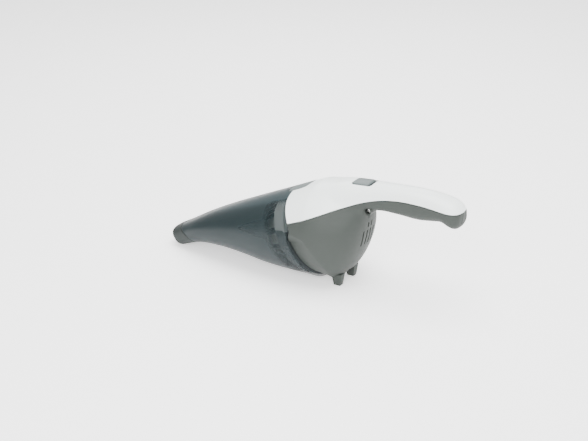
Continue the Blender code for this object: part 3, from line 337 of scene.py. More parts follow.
def angle_at_height(x, height):
    """Angle on the +Y side at which the skin passes this height."""
    x, height = np.broadcast_arrays(np.asarray(x, float), np.asarray(height, float))
    low = np.zeros(x.shape)
    high = np.full(x.shape, math.pi)
    for _ in range(30):
        middle = 0.5 * (low + high)
        above = near_height(x, middle) > height
        low = np.where(above, middle, low)
        high = np.where(above, high, middle)
    return low


def seam_plane(z):
    return SEAM_X - SEAM_LEAN * (z - SEAM_Z)


def bowl_edge(z):
    """x of the bowl's rear edge, which reaches further back above the finger recess."""
    return seam_plane(z) + np.interp(z, *zip(*SEAM_STEP))


def meet_edge(angle, edge, start):
    """x at which each ray meets an edge that is given as x over height."""
    x = np.full(np.shape(angle), start)
    for _ in range(30):
        x = 0.5 * x + 0.5 * edge(near_height(x, angle))
    return x


# ---- mesh helpers ------------------------------------------------------------------------------


def make_mesh(name, points, faces, smooth=True):
    mesh = bpy.data.meshes.new(name)
    mesh.from_pydata([tuple(p) for p in points], [], [tuple(int(i) for i in f) for f in faces])
    mesh.validate()
    bm = bmesh.new()
    bm.from_mesh(mesh)
    bmesh.ops.remove_doubles(bm, verts=bm.verts, dist=1e-6)
    bmesh.ops.recalc_face_normals(bm, faces=bm.faces)
    bm.to_mesh(mesh)
    bm.free()
    obj = bpy.data.objects.new(name, mesh)
    bpy.context.scene.collection.objects.link(obj)
    if smooth:
        mesh.shade_smooth()
    return obj


def grid_quads(rows, columns, close_rows=False, close_columns=False, first=0):
    i = np.arange(rows if close_rows else rows - 1)
    j = np.arange(columns if close_columns else columns - 1)
    i, j = [a.ravel() for a in np.meshgrid(i, j, indexing="ij")]
    a = i * columns + j
    b = i * columns + (j + 1) % columns
    c = (i + 1) % rows * columns + (j + 1) % columns
    d = (i + 1) % rows * columns + j
    return np.stack((a, b, c, d), axis=-1) + first


def closed_shell(name, outer, inner):
    """Closed solid between two grids of the same shape."""
    rows, columns = outer.shape[:2]
    count = rows * columns
    points = np.concatenate((outer.reshape(-1, 3), inner.reshape(-1, 3))) + CENTRE_SHIFT
    index = np.arange(count).reshape(rows, columns)
    faces = [grid_quads(rows, columns), grid_quads(rows, columns, first=count)[:, ::-1]]
    for edge in (index[0], index[:, 0], index[:, -1], index[-1]):
        a, b = edge[:-1], edge[1:]
        faces.append(np.stack((a, b, b + count, a + count), axis=-1))
    return make_mesh(name, points, np.concatenate(faces))


def rolled(grid, normal, radius, wall, centre_radius=None):
    """The grid's border drops in a small round, and its back face, ready for closed_shell.

    The last column may have a smaller round, as along a tight parting line."""
    along = np.linalg.norm(np.diff(grid, axis=0), axis=-1)
    across = np.linalg.norm(np.diff(grid, axis=1), axis=-1)
    rows = np.concatenate((np.zeros((1, grid.shape[1])), np.cumsum(along, axis=0)))
    columns = np.concatenate((np.zeros((grid.shape[0], 1)), np.cumsum(across, axis=1)), axis=1)
    last = (columns[:, -1:] - columns) * (radius / (centre_radius or radius))
    edge = np.minimum(np.minimum(rows, rows[-1] - rows), np.minimum(columns, last))
    near = np.clip(edge / radius, 0.0, 1.0)
    depth = np.where(last < columns, centre_radius or radius, radius)
    drop = depth * (1.0 - np.sqrt(1.0 - (1.0 - near) ** 2))
    return grid - normal * drop[..., None], grid - normal * wall


def edge_shares(length, count, radius):
    """Shares along a border of this length, with extra points in the round at both ends."""
    fine = radius * np.array((0.0, 0.06, 0.2, 0.45, 0.75, 1.1)) / length
    return np.concatenate((fine, np.linspace(fine[-1], 1.0 - fine[-1], count)[1:-1], 1.0 - fine[::-1]))


def tipped(outer, inner, tip):
    """Both grids with one more row, drawn to a point, so that the shell closes across its end."""
    def with_point(grid, point):
        row = np.broadcast_to(np.array(point), (1, *grid.shape[1:]))
        return np.concatenate((grid, row))

    return with_point(outer, tip), with_point(inner, (tip[0] - WALL, tip[1], tip[2]))


def ring_shell(name, rings):
    """Closed ring-shaped solid from a list of closed rings."""
    rings = np.array(rings)
    rows, columns = rings.shape[:2]
    points = rings.reshape(-1, 3) + CENTRE_SHIFT
    return make_mesh(name, points, grid_quads(rows, columns, True, True))


def full_turn(count):
    return np.linspace(0.0, 2.0 * math.pi, count, endpoint=False) + math.pi / count


def turned(name, profile, steps=96, sharp=30.0):
    """Closed ring from a profile of radius and distance along the fan axis."""
    up = np.array((-AXIS_DIRECTION.z, 0.0, AXIS_DIRECTION.x))
    axis = np.array(AXIS_DIRECTION)
    turn = full_turn(steps)
    spoke = np.cos(turn)[:, None] * up + np.sin(turn)[:, None] * np.array((0.0, 1.0, 0.0))
    rings = [np.array(AXIS_ORIGIN) + axis * along + spoke * radius for radius, along in profile]
    obj = ring_shell(name, rings)
    obj.data.set_sharp_from_angle(angle=math.radians(sharp))
    return obj


def cut(obj, cutter, operation="DIFFERENCE"):
    """Applies a Boolean and removes its cutter."""
    modifier = obj.modifiers.new("cut", "BOOLEAN")
    modifier.operation = operation
    modifier.solver = "EXACT"
    modifier.object = cutter
    graph = bpy.context.evaluated_depsgraph_get()
    mesh = bpy.data.meshes.new_from_object(obj.evaluated_get(graph))
    obj.modifiers.clear()
    obj.data = mesh
    bpy.data.objects.remove(cutter, do_unlink=True)


def rounded_box(name, size, centre, turn=0.0, radius=0.0005, taper=1.0):
    """Box with rounded edges, tilted about Y, and narrower at its foot by taper."""
    bm = bmesh.new()
    bmesh.ops.create_cube(bm, size=1.0)
    for vert in bm.verts:
        share = taper if vert.co.z < 0 else 1.0
        vert.co = Vector((vert.co.x * size[0] * share, vert.co.y * size[1] * share, vert.co.z * size[2]))
    bmesh.ops.bevel(bm, geom=bm.edges[:], offset=radius, segments=3, affect="EDGES", profile=0.5)
    place = Matrix.Translation(Vector(centre) + Vector(CENTRE_SHIFT)) @ Matrix.Rotation(turn, 4, "Y")
    bmesh.ops.transform(bm, matrix=place, verts=bm.verts)
    mesh = bpy.data.meshes.new(name)
    bm.to_mesh(mesh)
    bm.free()
    obj = bpy.data.objects.new(name, mesh)
    bpy.context.scene.collection.objects.link(obj)
    mesh.shade_smooth()
    mesh.set_sharp_from_angle(angle=math.radians(50.0))
    return obj


def side_cylinder(name, radius, start, end, x, z, steps=48):
    """Closed cylinder along Y."""
    turn = full_turn(steps)
    bm = bmesh.new()
    rings = []
    for y in (start, end):
        ring = []
        for angle in turn:
            at = (x + CENTRE_SHIFT[0] + radius * math.cos(angle), y, z + radius * math.sin(angle))
            ring.append(bm.verts.new(at))
        rings.append(ring)
    for k in range(steps):
        bm.faces.new((rings[0][k], rings[0][(k + 1) % steps], rings[1][(k + 1) % steps], rings[1][k]))
    bm.faces.new(rings[0])
    bm.faces.new(rings[1])
    bmesh.ops.recalc_face_normals(bm, faces=bm.faces)
    mesh = bpy.data.meshes.new(name)
    bm.to_mesh(mesh)
    bm.free()
    obj = bpy.data.objects.new(name, mesh)
    bpy.context.scene.collection.objects.link(obj)
    return obj


# ---- materials ---------------------------------------------------------------------------------


class Nodes:
    """Short names for building a shader."""

    def __init__(self, name):
        self.material = bpy.data.materials.new(name)
        self.material.use_nodes = True
        self.tree = self.material.node_tree
        self.shader = self.tree.nodes["Principled BSDF"]

    def add(self, kind, **values):
        node = self.tree.nodes.new(kind)
        for key, value in values.items():
            setattr(node, key, value)
        return node

    def link(self, a, b):
        self.tree.links.new(a, b)


def ramp(nodes, factor, stops):
    """Colour ramp with (position, colour) stops."""
    node = nodes.add("ShaderNodeValToRGB")
    element = node.color_ramp.elements
    while len(element) > 1:
        element.remove(element[-1])
    element[0].position, element[0].color = stops[0][0], (*stops[0][1], 1.0)
    for position, color in stops[1:]:
        element.new(position).color = (*color, 1.0)
    nodes.link(factor, node.inputs["Fac"])
    return node.outputs["Color"]


def scaled(color, factor):
    return tuple(min(1.0, channel * factor) for channel in color)


def plastic(
    name, color, roughness, grain=0.00003, grain_scale=2600.0, coat=0.0, spread=0.06, specular=0.3
):
    """Moulded plastic: soft colour drift, fine grain in the bump, and scuffs in the roughness."""
    nodes = Nodes(name)
    place = nodes.add("ShaderNodeTexCoord")
    drift = nodes.add("ShaderNodeTexNoise")
    drift.inputs["Scale"].default_value = 18.0
    drift.inputs["Detail"].default_value = 3.0
    nodes.link(place.outputs["Object"], drift.inputs["Vector"])
    stops = ((0.3, scaled(color, 1 - spread)), (0.7, scaled(color, 1 + spread)))
    shade = ramp(nodes, drift.outputs["Fac"], stops)
    nodes.link(shade, nodes.shader.inputs["Base Color"])
    scuff = nodes.add("ShaderNodeTexNoise")
    scuff.inputs["Scale"].default_value = 140.0
    scuff.inputs["Detail"].default_value = 6.0
    nodes.link(place.outputs["Object"], scuff.inputs["Vector"])
    gloss = nodes.add("ShaderNodeMapRange")
    gloss.inputs["To Min"].default_value = roughness - 0.05
    gloss.inputs["To Max"].default_value = roughness + 0.07
    nodes.link(scuff.outputs["Fac"], gloss.inputs["Value"])
    nodes.link(gloss.outputs["Result"], nodes.shader.inputs["Roughness"])
    fine = nodes.add("ShaderNodeTexNoise")
    fine.inputs["Scale"].default_value = grain_scale
    fine.inputs["Detail"].default_value = 2.0
    nodes.link(place.outputs["Object"], fine.inputs["Vector"])
    bump = nodes.add("ShaderNodeBump")
    bump.inputs["Strength"].default_value = 0.25
    bump.inputs["Distance"].default_value = grain
    nodes.link(fine.outputs["Fac"], bump.inputs["Height"])
    nodes.link(bump.outputs["Normal"], nodes.shader.inputs["Normal"])
    nodes.shader.inputs["IOR"].default_value = 1.5
    nodes.shader.inputs["Specular IOR Level"].default_value = specular
    if coat:
        nodes.shader.inputs["Coat Weight"].default_value = coat
        nodes.shader.inputs["Coat Roughness"].default_value = 0.12
    return nodes.material


def smoke_plastic():
    """Clear smoked plastic with a painted reflection: a little paler on the crown above the shoulder line
    of the bowl, where the top faces up to the light.
    """
    nodes = Nodes("clear_smoke_painted_reflection")
    place = nodes.add("ShaderNodeTexCoord")
    split = nodes.add("ShaderNodeSeparateXYZ")
    nodes.link(place.outputs["Object"], split.inputs["Vector"])
    slope = nodes.add("ShaderNodeMath", operation="MULTIPLY_ADD")
    slope.inputs[1].default_value = -SHOULDER_SLOPE
    nodes.link(split.outputs["X"], slope.inputs[0])
    nodes.link(split.outputs["Z"], slope.inputs[2])
    # Painted reflection: above the shoulder line the colour turns to the paler crown colour.
    crown = nodes.add("ShaderNodeMapRange", interpolation_type="SMOOTHSTEP")
    crown.inputs["From Min"].default_value = SHOULDER_HEIGHT - 0.0022
    crown.inputs["From Max"].default_value = SHOULDER_HEIGHT + 0.0022
    nodes.link(slope.outputs[0], crown.inputs["Value"])
    shade = ramp(nodes, crown.outputs["Result"], ((0.0, SMOKE_LOW), (1.0, CROWN_PAINTED_REFLECTION)))
    nodes.link(shade, nodes.shader.inputs["Base Color"])
    behind = nodes.add("ShaderNodeMath", operation="MULTIPLY_ADD")
    behind.inputs[1].default_value = SEAM_LEAN
    nodes.link(split.outputs["Z"], behind.inputs[0])
    nodes.link(split.outputs["X"], behind.inputs[2])
    seam = nodes.add("ShaderNodeMapRange", interpolation_type="SMOOTHSTEP")
    seam.inputs["From Min"].default_value = SEAM_LEAN * SEAM_Z - 0.034
    seam.inputs["From Max"].default_value = SEAM_LEAN * SEAM_Z - 0.019
    seam.inputs["To Min"].default_value = SMOKE_ALPHA
    seam.inputs["To Max"].default_value = SMOKE_SEAM_ALPHA
    nodes.link(behind.outputs[0], seam.inputs["Value"])
    clear = nodes.add("ShaderNodeMapRange")
    clear.inputs["To Max"].default_value = SMOKE_CROWN_ALPHA
    nodes.link(crown.outputs["Result"], clear.inputs["Value"])
    nodes.link(seam.outputs["Result"], clear.inputs["To Min"])
    nodes.link(clear.outputs["Result"], nodes.shader.inputs["Alpha"])
    haze = nodes.add("ShaderNodeTexNoise")
    haze.inputs["Scale"].default_value = 60.0
    haze.inputs["Detail"].default_value = 5.0
    nodes.link(place.outputs["Object"], haze.inputs["Vector"])
    gloss = nodes.add("ShaderNodeMapRange")
    gloss.inputs["To Min"].default_value = 0.30
    gloss.inputs["To Max"].default_value = 0.40
    nodes.link(haze.outputs["Fac"], gloss.inputs["Value"])
    nodes.link(gloss.outputs["Result"], nodes.shader.inputs["Roughness"])
    nodes.shader.inputs["IOR"].default_value = 1.49
    nodes.shader.inputs["Specular IOR Level"].default_value = 0.24
    return nodes.material


def metal(name, color, roughness):
    """Plain metal with a fine drawn streak in its roughness."""
    nodes = Nodes(name)
    place = nodes.add("ShaderNodeTexCoord")
    stretch = nodes.add("ShaderNodeMapping")
    stretch.inputs["Scale"].default_value = (40.0, 900.0, 900.0)
    nodes.link(place.outputs["Object"], stretch.inputs["Vector"])
    streak = nodes.add("ShaderNodeTexNoise")
    streak.inputs["Scale"].default_value = 2.0
    streak.inputs["Detail"].default_value = 4.0
    nodes.link(stretch.outputs["Vector"], streak.inputs["Vector"])
    gloss = nodes.add("ShaderNodeMapRange")
    gloss.inputs["To Min"].default_value = roughness - 0.08
    gloss.inputs["To Max"].default_value = roughness + 0.12
    nodes.link(streak.outputs["Fac"], gloss.inputs["Value"])
    nodes.link(gloss.outputs["Result"], nodes.shader.inputs["Roughness"])
    shade = ramp(nodes, streak.outputs["Fac"], ((0.3, scaled(color, 0.9)), (0.7, scaled(color, 1.05))))
    nodes.link(shade, nodes.shader.inputs["Base Color"])
    nodes.shader.inputs["Metallic"].default_value = 1.0
    return nodes.material


def cloth(name, color):
    """Felted filter cloth: tangled fibres in colour and bump."""
    nodes = Nodes(name)
    place = nodes.add("ShaderNodeTexCoord")
    fibre = nodes.add("ShaderNodeTexNoise")
    fibre.inputs["Scale"].default_value = 900.0
    fibre.inputs["Detail"].default_value = 8.0
    fibre.inputs["Distortion"].default_value = 1.5
    nodes.link(place.outputs["Object"], fibre.inputs["Vector"])
    shade = ramp(nodes, fibre.outputs["Fac"], ((0.35, scaled(color, 0.8)), (0.65, color)))
    nodes.link(shade, nodes.shader.inputs["Base Color"])
    bump = nodes.add("ShaderNodeBump")
    bump.inputs["Distance"].default_value = 0.0003
    nodes.link(fibre.outputs["Fac"], bump.inputs["Height"])
    nodes.link(bump.outputs["Normal"], nodes.shader.inputs["Normal"])
    nodes.shader.inputs["Roughness"].default_value = 0.95
    nodes.shader.inputs["Sheen Weight"].default_value = 0.3
    return nodes.material


# Painted reflection on the bowl's crown: the line above which it is paler, and its two colours.
SHOULDER_SLOPE = 0.388
SHOULDER_HEIGHT = 0.1046
SMOKE_LOW = (0.013, 0.021, 0.023)
CROWN_PAINTED_REFLECTION = (0.024, 0.038, 0.042)
SMOKE_ALPHA = 0.88
SMOKE_SEAM_ALPHA = 0.46
SMOKE_CROWN_ALPHA = 0.88

WHITE = plastic("white_gloss", (0.83, 0.875, 0.86), 0.34, 0.00002, 1800.0, coat=0.25, spread=0.01)
GREY = plastic("grey_satin", (0.036, 0.042, 0.038), 0.52, spread=0.05, specular=0.22)
BAND = plastic("band_grey", (0.018, 0.023, 0.022), 0.50, spread=0.05, specular=0.2)
PALE = plastic("pale_grey_satin", (0.092, 0.112, 0.111), 0.42, spread=0.03)
COLLAR = plastic("collar_grey", (0.640, 0.700, 0.680), 0.45, spread=0.03)
# Darker copy of the collar grey, for painted shade on the collar's lower part.
COLLAR_PAINTED_SHADE = plastic("collar_painted_shade_grey", (0.105, 0.130, 0.134), 0.55, spread=0.04)
FLANGE = plastic("flange_grey", (0.400, 0.450, 0.430), 0.50, spread=0.04)
SMOKE = smoke_plastic()
DARK = plastic("dark_plastic", (0.030, 0.036, 0.038), 0.50, spread=0.10)
DUCT = plastic("duct_plastic", (0.045, 0.056, 0.060), 0.50, spread=0.10)
RUBBER = plastic("soft_rubber", (0.028, 0.028, 0.028), 0.82, 0.00006, 1500.0, spread=0.15)
CLOTH = cloth("filter_cloth", (0.62, 0.62, 0.57))
STEEL = metal("plain_steel", (0.58, 0.58, 0.57), 0.32)
BRASS = metal("contact_brass", (0.72, 0.55, 0.26), 0.30)
BOARD = plastic("board_laminate", (0.035, 0.150, 0.060), 0.45, spread=0.12)
WRAP = plastic("cell_wrap", (0.040, 0.130, 0.300), 0.30, spread=0.05)


def finish(obj, material, body, slot, *nodes):
    """Gives a piece its material and its body, and hides the CAD nodes it stands for. The slot argument is
    not used.
    """
    obj.data.materials.clear()
    obj.data.materials.append(material)
    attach(obj, body)
    if nodes:
        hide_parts(*nodes)
    return obj


# ---- dust bowl and nozzle ----------------------------------------------------------------------


def band_edge(z):
    return np.interp(z, *zip(*BAND_EDGE))


def mouth_line(z, setback=0.0):
    return MOUTH_X + setback - MOUTH_SLOPE * z


def skin_ring(angles, x, inset=0.0):
    points = skin_point(x, angles)
    return points - skin_normal(points) * inset


def latch_reach(across, margin=0.0):
    """Half length of the release button at a share of its half width."""
    share = (1.0 - np.abs(across) ** LATCH_SQUARENESS) ** (1.0 / LATCH_SQUARENESS)
    return (LATCH_HALF_LENGTH + margin) * share


def latch_prism(name, margin):
    """Upright prism with the outline of the release button, larger by a margin."""
    turn = full_turn(120)
    across = np.sign(np.sin(turn)) * np.abs(np.sin(turn)) ** (2.0 / LATCH_SQUARENESS)
    x = LATCH_CENTRE + np.sign(np.cos(turn)) * latch_reach(across, margin)
    y = (LATCH_HALF_WIDTH + margin) * across
    low = np.stack((x, y, np.full(x.shape, 0.096)), axis=-1) + CENTRE_SHIFT
    high = low + np.array((0.0, 0.0, 0.029))
    count = len(turn)
    faces = [tuple(face) for face in grid_quads(2, count, close_columns=True)]
    faces += [tuple(range(count)), tuple(range(count, 2 * count))]
    return make_mesh(name, np.concatenate((low, high)), faces, smooth=False)


def build_bowl():
    angles = full_turn(200)
    front = meet_edge(angles, lambda z: band_edge(z) + NOSE_GAP, MOUTH_X)
    rear = meet_edge(angles, bowl_edge, SEAM_X)
    lip = np.array((0.0, 0.0012, 0.003, 0.006))
    shares = np.concatenate((lip, np.linspace(0.010, 0.990, 74), (0.994, 0.997, 0.9988, 1.0)))
    drops = np.zeros(shares.shape)
    drops[[0, -1]] = 0.0005
    drops[[1, -2]] = 0.0002
    outer = [skin_ring(angles, front + (rear - front) * share, drop) for share, drop in zip(shares, drops)]
    inner = [skin_ring(angles, front + (rear - front) * share, BOWL_WALL) for share in shares[::-1]]
    bowl = ring_shell("bowl_shell", outer + inner)
    cut(bowl, latch_prism("bowl_notch", BOWL_GAP))
    bowl.data.set_sharp_from_angle(angle=math.radians(40.0))
    finish(bowl, SMOKE, "bowl", "smoke_plastic", "dust_bowl")


def duct_ring(angles, along, half_width, half_height):
    """Rounded rectangle across the duct axis."""
    direction = (DUCT_END - DUCT_START).normalized()
    up = np.array((-direction.z, 0.0, direction.x))
    centre = np.array(DUCT_START + direction * along)
    cosine, sine = np.cos(angles), np.sin(angles)
    reach = (np.abs(cosine) ** TUBE_CORNER + np.abs(sine) ** TUBE_CORNER) ** (-1.0 / TUBE_CORNER)
    height = (half_height * reach * cosine)[:, None]
    side = (half_width * reach * sine)[:, None]
    return centre + up * height + np.array((0.0, 1.0, 0.0)) * side


def build_nozzle():
    angles = full_turn(120)
    mouth = meet_edge(angles, mouth_line, MOUTH_X)
    band = meet_edge(angles, band_edge, MOUTH_X)
    shares = (0.0, 0.02, 0.05, 0.12, 0.25, 0.4, 0.55, 0.7, 0.85, 0.95, 0.985, 1.0)
    drops = (0.0008, 0.0003, 0.0001, 0, 0, 0, 0, 0, 0, 0, 0.0001, 0.0005)
    rings = [skin_ring(angles, mouth + (band - mouth) * s, drop) for s, drop in zip(shares, drops)]
    wide, high = TUBE_HALF_WIDTH, TUBE_HALF_HEIGHT
    rings += [
        skin_ring(angles, band, BOWL_WALL + BOWL_GAP),
        duct_ring(angles, TUBE_START, wide, high),
        duct_ring(angles, TUBE_LENGTH, wide, high),
        duct_ring(angles, TUBE_LENGTH, wide - TUBE_WALL, high - TUBE_WALL),
        duct_ring(angles, TUBE_START - 0.002, wide - TUBE_WALL, high - TUBE_WALL),
        skin_ring(angles, meet_edge(angles, lambda z: mouth_line(z, 0.004), MOUTH_X), 0.0024),
        skin_ring(angles, mouth, 0.0020),
    ]
    nozzle = ring_shell("nozzle_band", rings)
    nozzle.data.set_sharp_from_angle(angle=math.radians(38.0))
    finish(nozzle, BAND, "nozzle", "grey_plastic", "nozzle")


def build_duct():
    angles = full_turn(96)
    wide = TUBE_HALF_WIDTH + DUCT_CLEARANCE
    high = TUBE_HALF_HEIGHT + DUCT_CLEARANCE
    length = (DUCT_END - DUCT_START).length
    rings = [
        duct_ring(angles, DUCT_FRONT, wide + DUCT_WALL, high + DUCT_WALL),
        duct_ring(angles, length, wide + DUCT_WALL + 0.002, high + DUCT_WALL + 0.003),
        duct_ring(angles, length, wide + 0.002, high + 0.003),
        duct_ring(angles, DUCT_FRONT, wide, high),
    ]
    duct = ring_shell("duct_tube", rings)
    duct.data.set_sharp_from_angle(angle=math.radians(38.0))
    finish(duct, DUCT, "bowl", "dark_plastic", "inlet_duct")


# ---- collar and filter seen through the bowl ---------------------------------------------------


COLLAR_STEP = -0.0010
STEP_WALL = 0.0025
NECK_INSET = 0.0085
NECK_INNER = 0.0113
NECK_LENGTH = 0.0036
# Painted shade: below this height the collar takes a darker grey copy of its plastic. Along its rear edge,
# in the slit behind the bowl's edge, it gets a painted shadow in dark plastic.
COLLAR_SHADE_Z = 0.068
COLLAR_SLIT_SHADOW_BAND = 0.0024


def seam_ring(angles, offset, inset):
    x = meet_edge(angles, lambda z: seam_plane(z) + offset, SEAM_X)
    return skin_ring(angles, x, inset)


def build_collar():
    angles = full_turn(160)
    rings = [
        seam_ring(angles, -COLLAR_DEPTH, COLLAR_INSET + 0.0004),
        seam_ring(angles, -COLLAR_DEPTH + 0.0004, COLLAR_INSET),
        seam_ring(angles, -0.0040, COLLAR_INSET),
        seam_ring(angles, COLLAR_STEP, COLLAR_INSET),
        seam_ring(angles, COLLAR_STEP, NECK_INSET),
        seam_ring(angles, NECK_LENGTH, NECK_INSET),
        seam_ring(angles, NECK_LENGTH, NECK_INNER),
        seam_ring(angles, COLLAR_STEP - STEP_WALL, NECK_INNER),
        seam_ring(angles, COLLAR_STEP - STEP_WALL, COLLAR_INSET + COLLAR_WALL),
        seam_ring(angles, -COLLAR_DEPTH, COLLAR_INSET + COLLAR_WALL),
    ]
    collar = ring_shell("collar_ring", rings)
    collar.data.set_sharp_from_angle(angle=math.radians(38.0))
    finish(collar, COLLAR, "housing", "pale_grey_plastic", "intake_collar")
    collar.data.materials.append(COLLAR_PAINTED_SHADE)
    collar.data.materials.append(DARK)
    # Painted shade on the lower faces, and a painted shadow in dark plastic on the faces by the rear edge.
    for face in collar.data.polygons:
        x, _, z = np.array(face.center) - CENTRE_SHIFT
        if z < COLLAR_SHADE_Z:
            face.material_index = 2 if x > seam_plane(z) - COLLAR_SLIT_SHADOW_BAND else 1


def build_filter_frame():
    front = FILTER_SEAT - 0.0030
    neck = 0.0360
    soft = 0.0004
    profile = (
        (FILTER_RADIUS - soft, front),
        (FILTER_RADIUS, front + soft),
        (FILTER_RADIUS, FILTER_SEAT - soft),
        (FILTER_RADIUS - soft, FILTER_SEAT),
        (neck, FILTER_SEAT),
        (neck, -0.0020),
        (neck - 0.0024, -0.0020),
        (neck - 0.0024, front),
    )
    ring = turned("filter_ring", profile, 128)
    finish(ring, FLANGE, "filter", "pale_grey_plastic", "filter_frame")


# ---- housing -----------------------------------------------------------------------------------


def recess_guide(z):
    """x of the finger recess's rear edge at each height."""
    return smooth_curve(RECESS_EDGE, np.minimum(z, RECESS_EDGE[-1][0]))


def half_front(z):
    """Front edge of the grey halves, behind the bowl's edge."""
    return bowl_edge(z) + BOWL_GAP + np.interp(z, *zip(*STEP_EASE))


def rear_shares(front_x, count):
    """Shares from front_x to the skin's end, closer together where the rear wall is steep."""
    dense = np.linspace(front_x, SKIN_END, 600)
    bottom = skin_point(dense, np.full(dense.shape, math.pi))[:, 2]
    top = skin_point(dense, np.zeros(dense.shape))[:, 2]
    pull = 0.7 * np.abs(np.diff(bottom)) + 0.5 * np.abs(np.diff(top)) + np.diff(dense)
    path = np.concatenate(([0.0], np.cumsum(pull)))
    at = np.interp(np.linspace(0.0, path[-1], count), path, dense)
    return (at - front_x) / (SKIN_END - front_x)


SCOOP_DEPTH = 0.0054
HALF_GAP = 0.00006
CENTRE_ROUND = 0.00015


def build_half(name, side):
    """One grey half: a row of points follows the rear edge of the finger recess."""
    shares = edge_shares(0.110, 62, 0.0005)
    front_rows = edge_shares(0.035, 26, 0.0005)[:-6]
    front_rows = front_rows / front_rows[-1]
    rear_rows = rear_shares(0.035, 130)
    start = np.zeros(shares.shape)
    guide = np.full(shares.shape, 0.03)
    for _ in range(24):
        near = start + (guide - start) * front_rows[:, None]
        far = guide + (SKIN_END - guide) * rear_rows[1:, None]
        x = np.concatenate((near, far))
        first = angle_at_height(x, smooth_curve(SPLIT_LINE, x) - PANEL_GAP)
        angles = first + (math.pi - first) * shares
        start = 0.5 * start + 0.5 * half_front(near_height(x[0], angles[0]))
        row = len(front_rows) - 1
        edge = recess_guide(near_height(x[row], angles[row]))
        guide = 0.6 * guide + 0.4 * np.maximum(edge, start + 0.0040)
    grid = skin_point(x, angles)
    normal = skin_normal(grid)
    span = np.maximum(guide - start, 1e-4)
    share = np.clip((guide - x) / span, 0.0, 1.0)
    low = np.clip((RECESS_EDGE[-1][0] - near_height(x[row], angles[row])) / 0.004, 0.0, 1.0)
    sink = SCOOP_DEPTH * low * np.sin(0.5 * math.pi * share)
    normal[:, -1, 1] = 0.0
    grid[:, -1, 1] = HALF_GAP / 2
    outer, inner = rolled(
        grid - normal * sink[..., None], normal, EDGE_ROUND, WALL, centre_radius=CENTRE_ROUND
    )
    columns_left = np.arange(len(shares))[::-1]
    for points in (outer, inner):
        points[..., 1] = np.maximum(points[..., 1], HALF_GAP / 2 + 3e-6 * columns_left) * side
    split = float(smooth_curve(SPLIT_LINE, np.array([SKIN_END]))[0]) - PANEL_GAP
    half = closed_shell(name, *tipped(outer, inner, (SKIN_END, side * HALF_GAP / 2, split)))
    foot_at = (FOOT_X, side * FOOT_Y, FOOT_SIZE[2] / 2)
    foot = rounded_box("foot", FOOT_SIZE, foot_at, 0.0, FOOT_ROUND, FOOT_TAPER)
    cut(half, foot, "UNION")
    cut(half, rounded_box("bay", BAY_SIZE, BAY_AT, BAY_TURN, BAY_ROUND))
    for y, z, length in VENT_SLOTS:
        size = (VENT_REACH, VENT_WIDTH, length)
        cut(half, rounded_box("slot", size, (VENT_X, side * y, z), VENT_TURN, VENT_ROUND))
    half.data.set_sharp_from_angle(angle=math.radians(42.0))
    return half



def build_housing():
    for name, side, node in (("half_left", -1, "housing_left"), ("half_right", 1, "housing_right")):
        half = build_half(name, side)
        if side < 0:
            x, z = ROOT_SCREW_X, ROOT_SCREW_Z
            cut(half, side_cylinder("boss", BOSS_RADIUS, BOSS_OUT, BOSS_IN, x, z), "UNION")
            cut(half, side_cylinder("recess", RECESS_RADIUS, RECESS_OUT, RECESS_FLOOR, x, z))
            half.data.set_sharp_from_angle(angle=math.radians(42.0))
        finish(half, GREY, "housing", "grey_plastic", node)


COVER_SHELL_END = 0.1922
EDGE_ROUND = 0.0005
COVER_ROUND = 0.0006


def build_cover():
    """White cover with a slide window and a notch for the release button."""
    shares = 2.0 * edge_shares(0.10, 110, 0.0006) - 1.0
    rows = rear_shares(-0.010, 200)[:, None]
    rows = np.concatenate((edge_shares(0.2, 10, 0.0006)[:6, None], rows[1:]))
    start = np.full(shares.shape, -0.010)
    end = COVER_SHELL_END
    for _ in range(24):
        x = start + (end - start) * np.sort(rows, axis=0)
        angles = angle_at_height(x, smooth_curve(SPLIT_LINE, x)) * shares
        edge = bowl_edge(near_height(x[0], angles[0])) + BOWL_GAP + COVER_SET_BACK
        start = 0.5 * start + 0.5 * edge
    grid = skin_point(x, angles)
    outer, inner = rolled(grid, skin_normal(grid), COVER_ROUND, WALL)
    split = float(smooth_curve(SPLIT_LINE, np.array([end]))[0])
    cover = closed_shell("cover_shell", *tipped(outer, inner, (end, 0.0, split)))
    cut(cover, latch_prism("cover_notch", PANEL_GAP))
    length = SLIDER_LENGTH + SLIDER_TRAVEL + 2 * PANEL_GAP
    cut(cover, window_prism(SLIDER_X + SLIDER_TRAVEL / 2, length, SLIDER_WIDTH + 2 * PANEL_GAP))
    cover.data.set_sharp_from_angle(angle=math.radians(42.0))
    finish(cover, WHITE, "housing", "white_plastic", "top_cover")


def window_prism(x, length, width):
    """Upright prism with rounded corners, for the switch window."""
    turn = full_turn(80)
    corner = SLIDER_CORNER
    cosine, sine = np.cos(turn), np.sin(turn)
    px = x + np.sign(cosine) * (length / 2 - corner) + corner * cosine
    py = np.sign(sine) * (width / 2 - corner) + corner * sine
    low = np.stack((px, py, np.full(px.shape, 0.110)), axis=-1) + CENTRE_SHIFT
    high = low + np.array((0.0, 0.0, 0.030))
    count = len(turn)
    faces = [tuple(face) for face in grid_quads(2, count, close_columns=True)]
    faces += [tuple(range(count)), tuple(range(count, 2 * count))]
    return make_mesh("window", np.concatenate((low, high)), faces, smooth=False)


def top_height(x, y):
    """Height of the upper skin at x and y."""
    x, y = np.broadcast_arrays(np.asarray(x, float), np.asarray(y, float))
    low = ray_centre(x)
    high = low + 0.09
    for _ in range(36):
        middle = 0.5 * (low + high)
        inside = skin_distance(x, y, middle) < 0.0
        low = np.where(inside, middle, low)
        high = np.where(inside, high, middle)
    return low


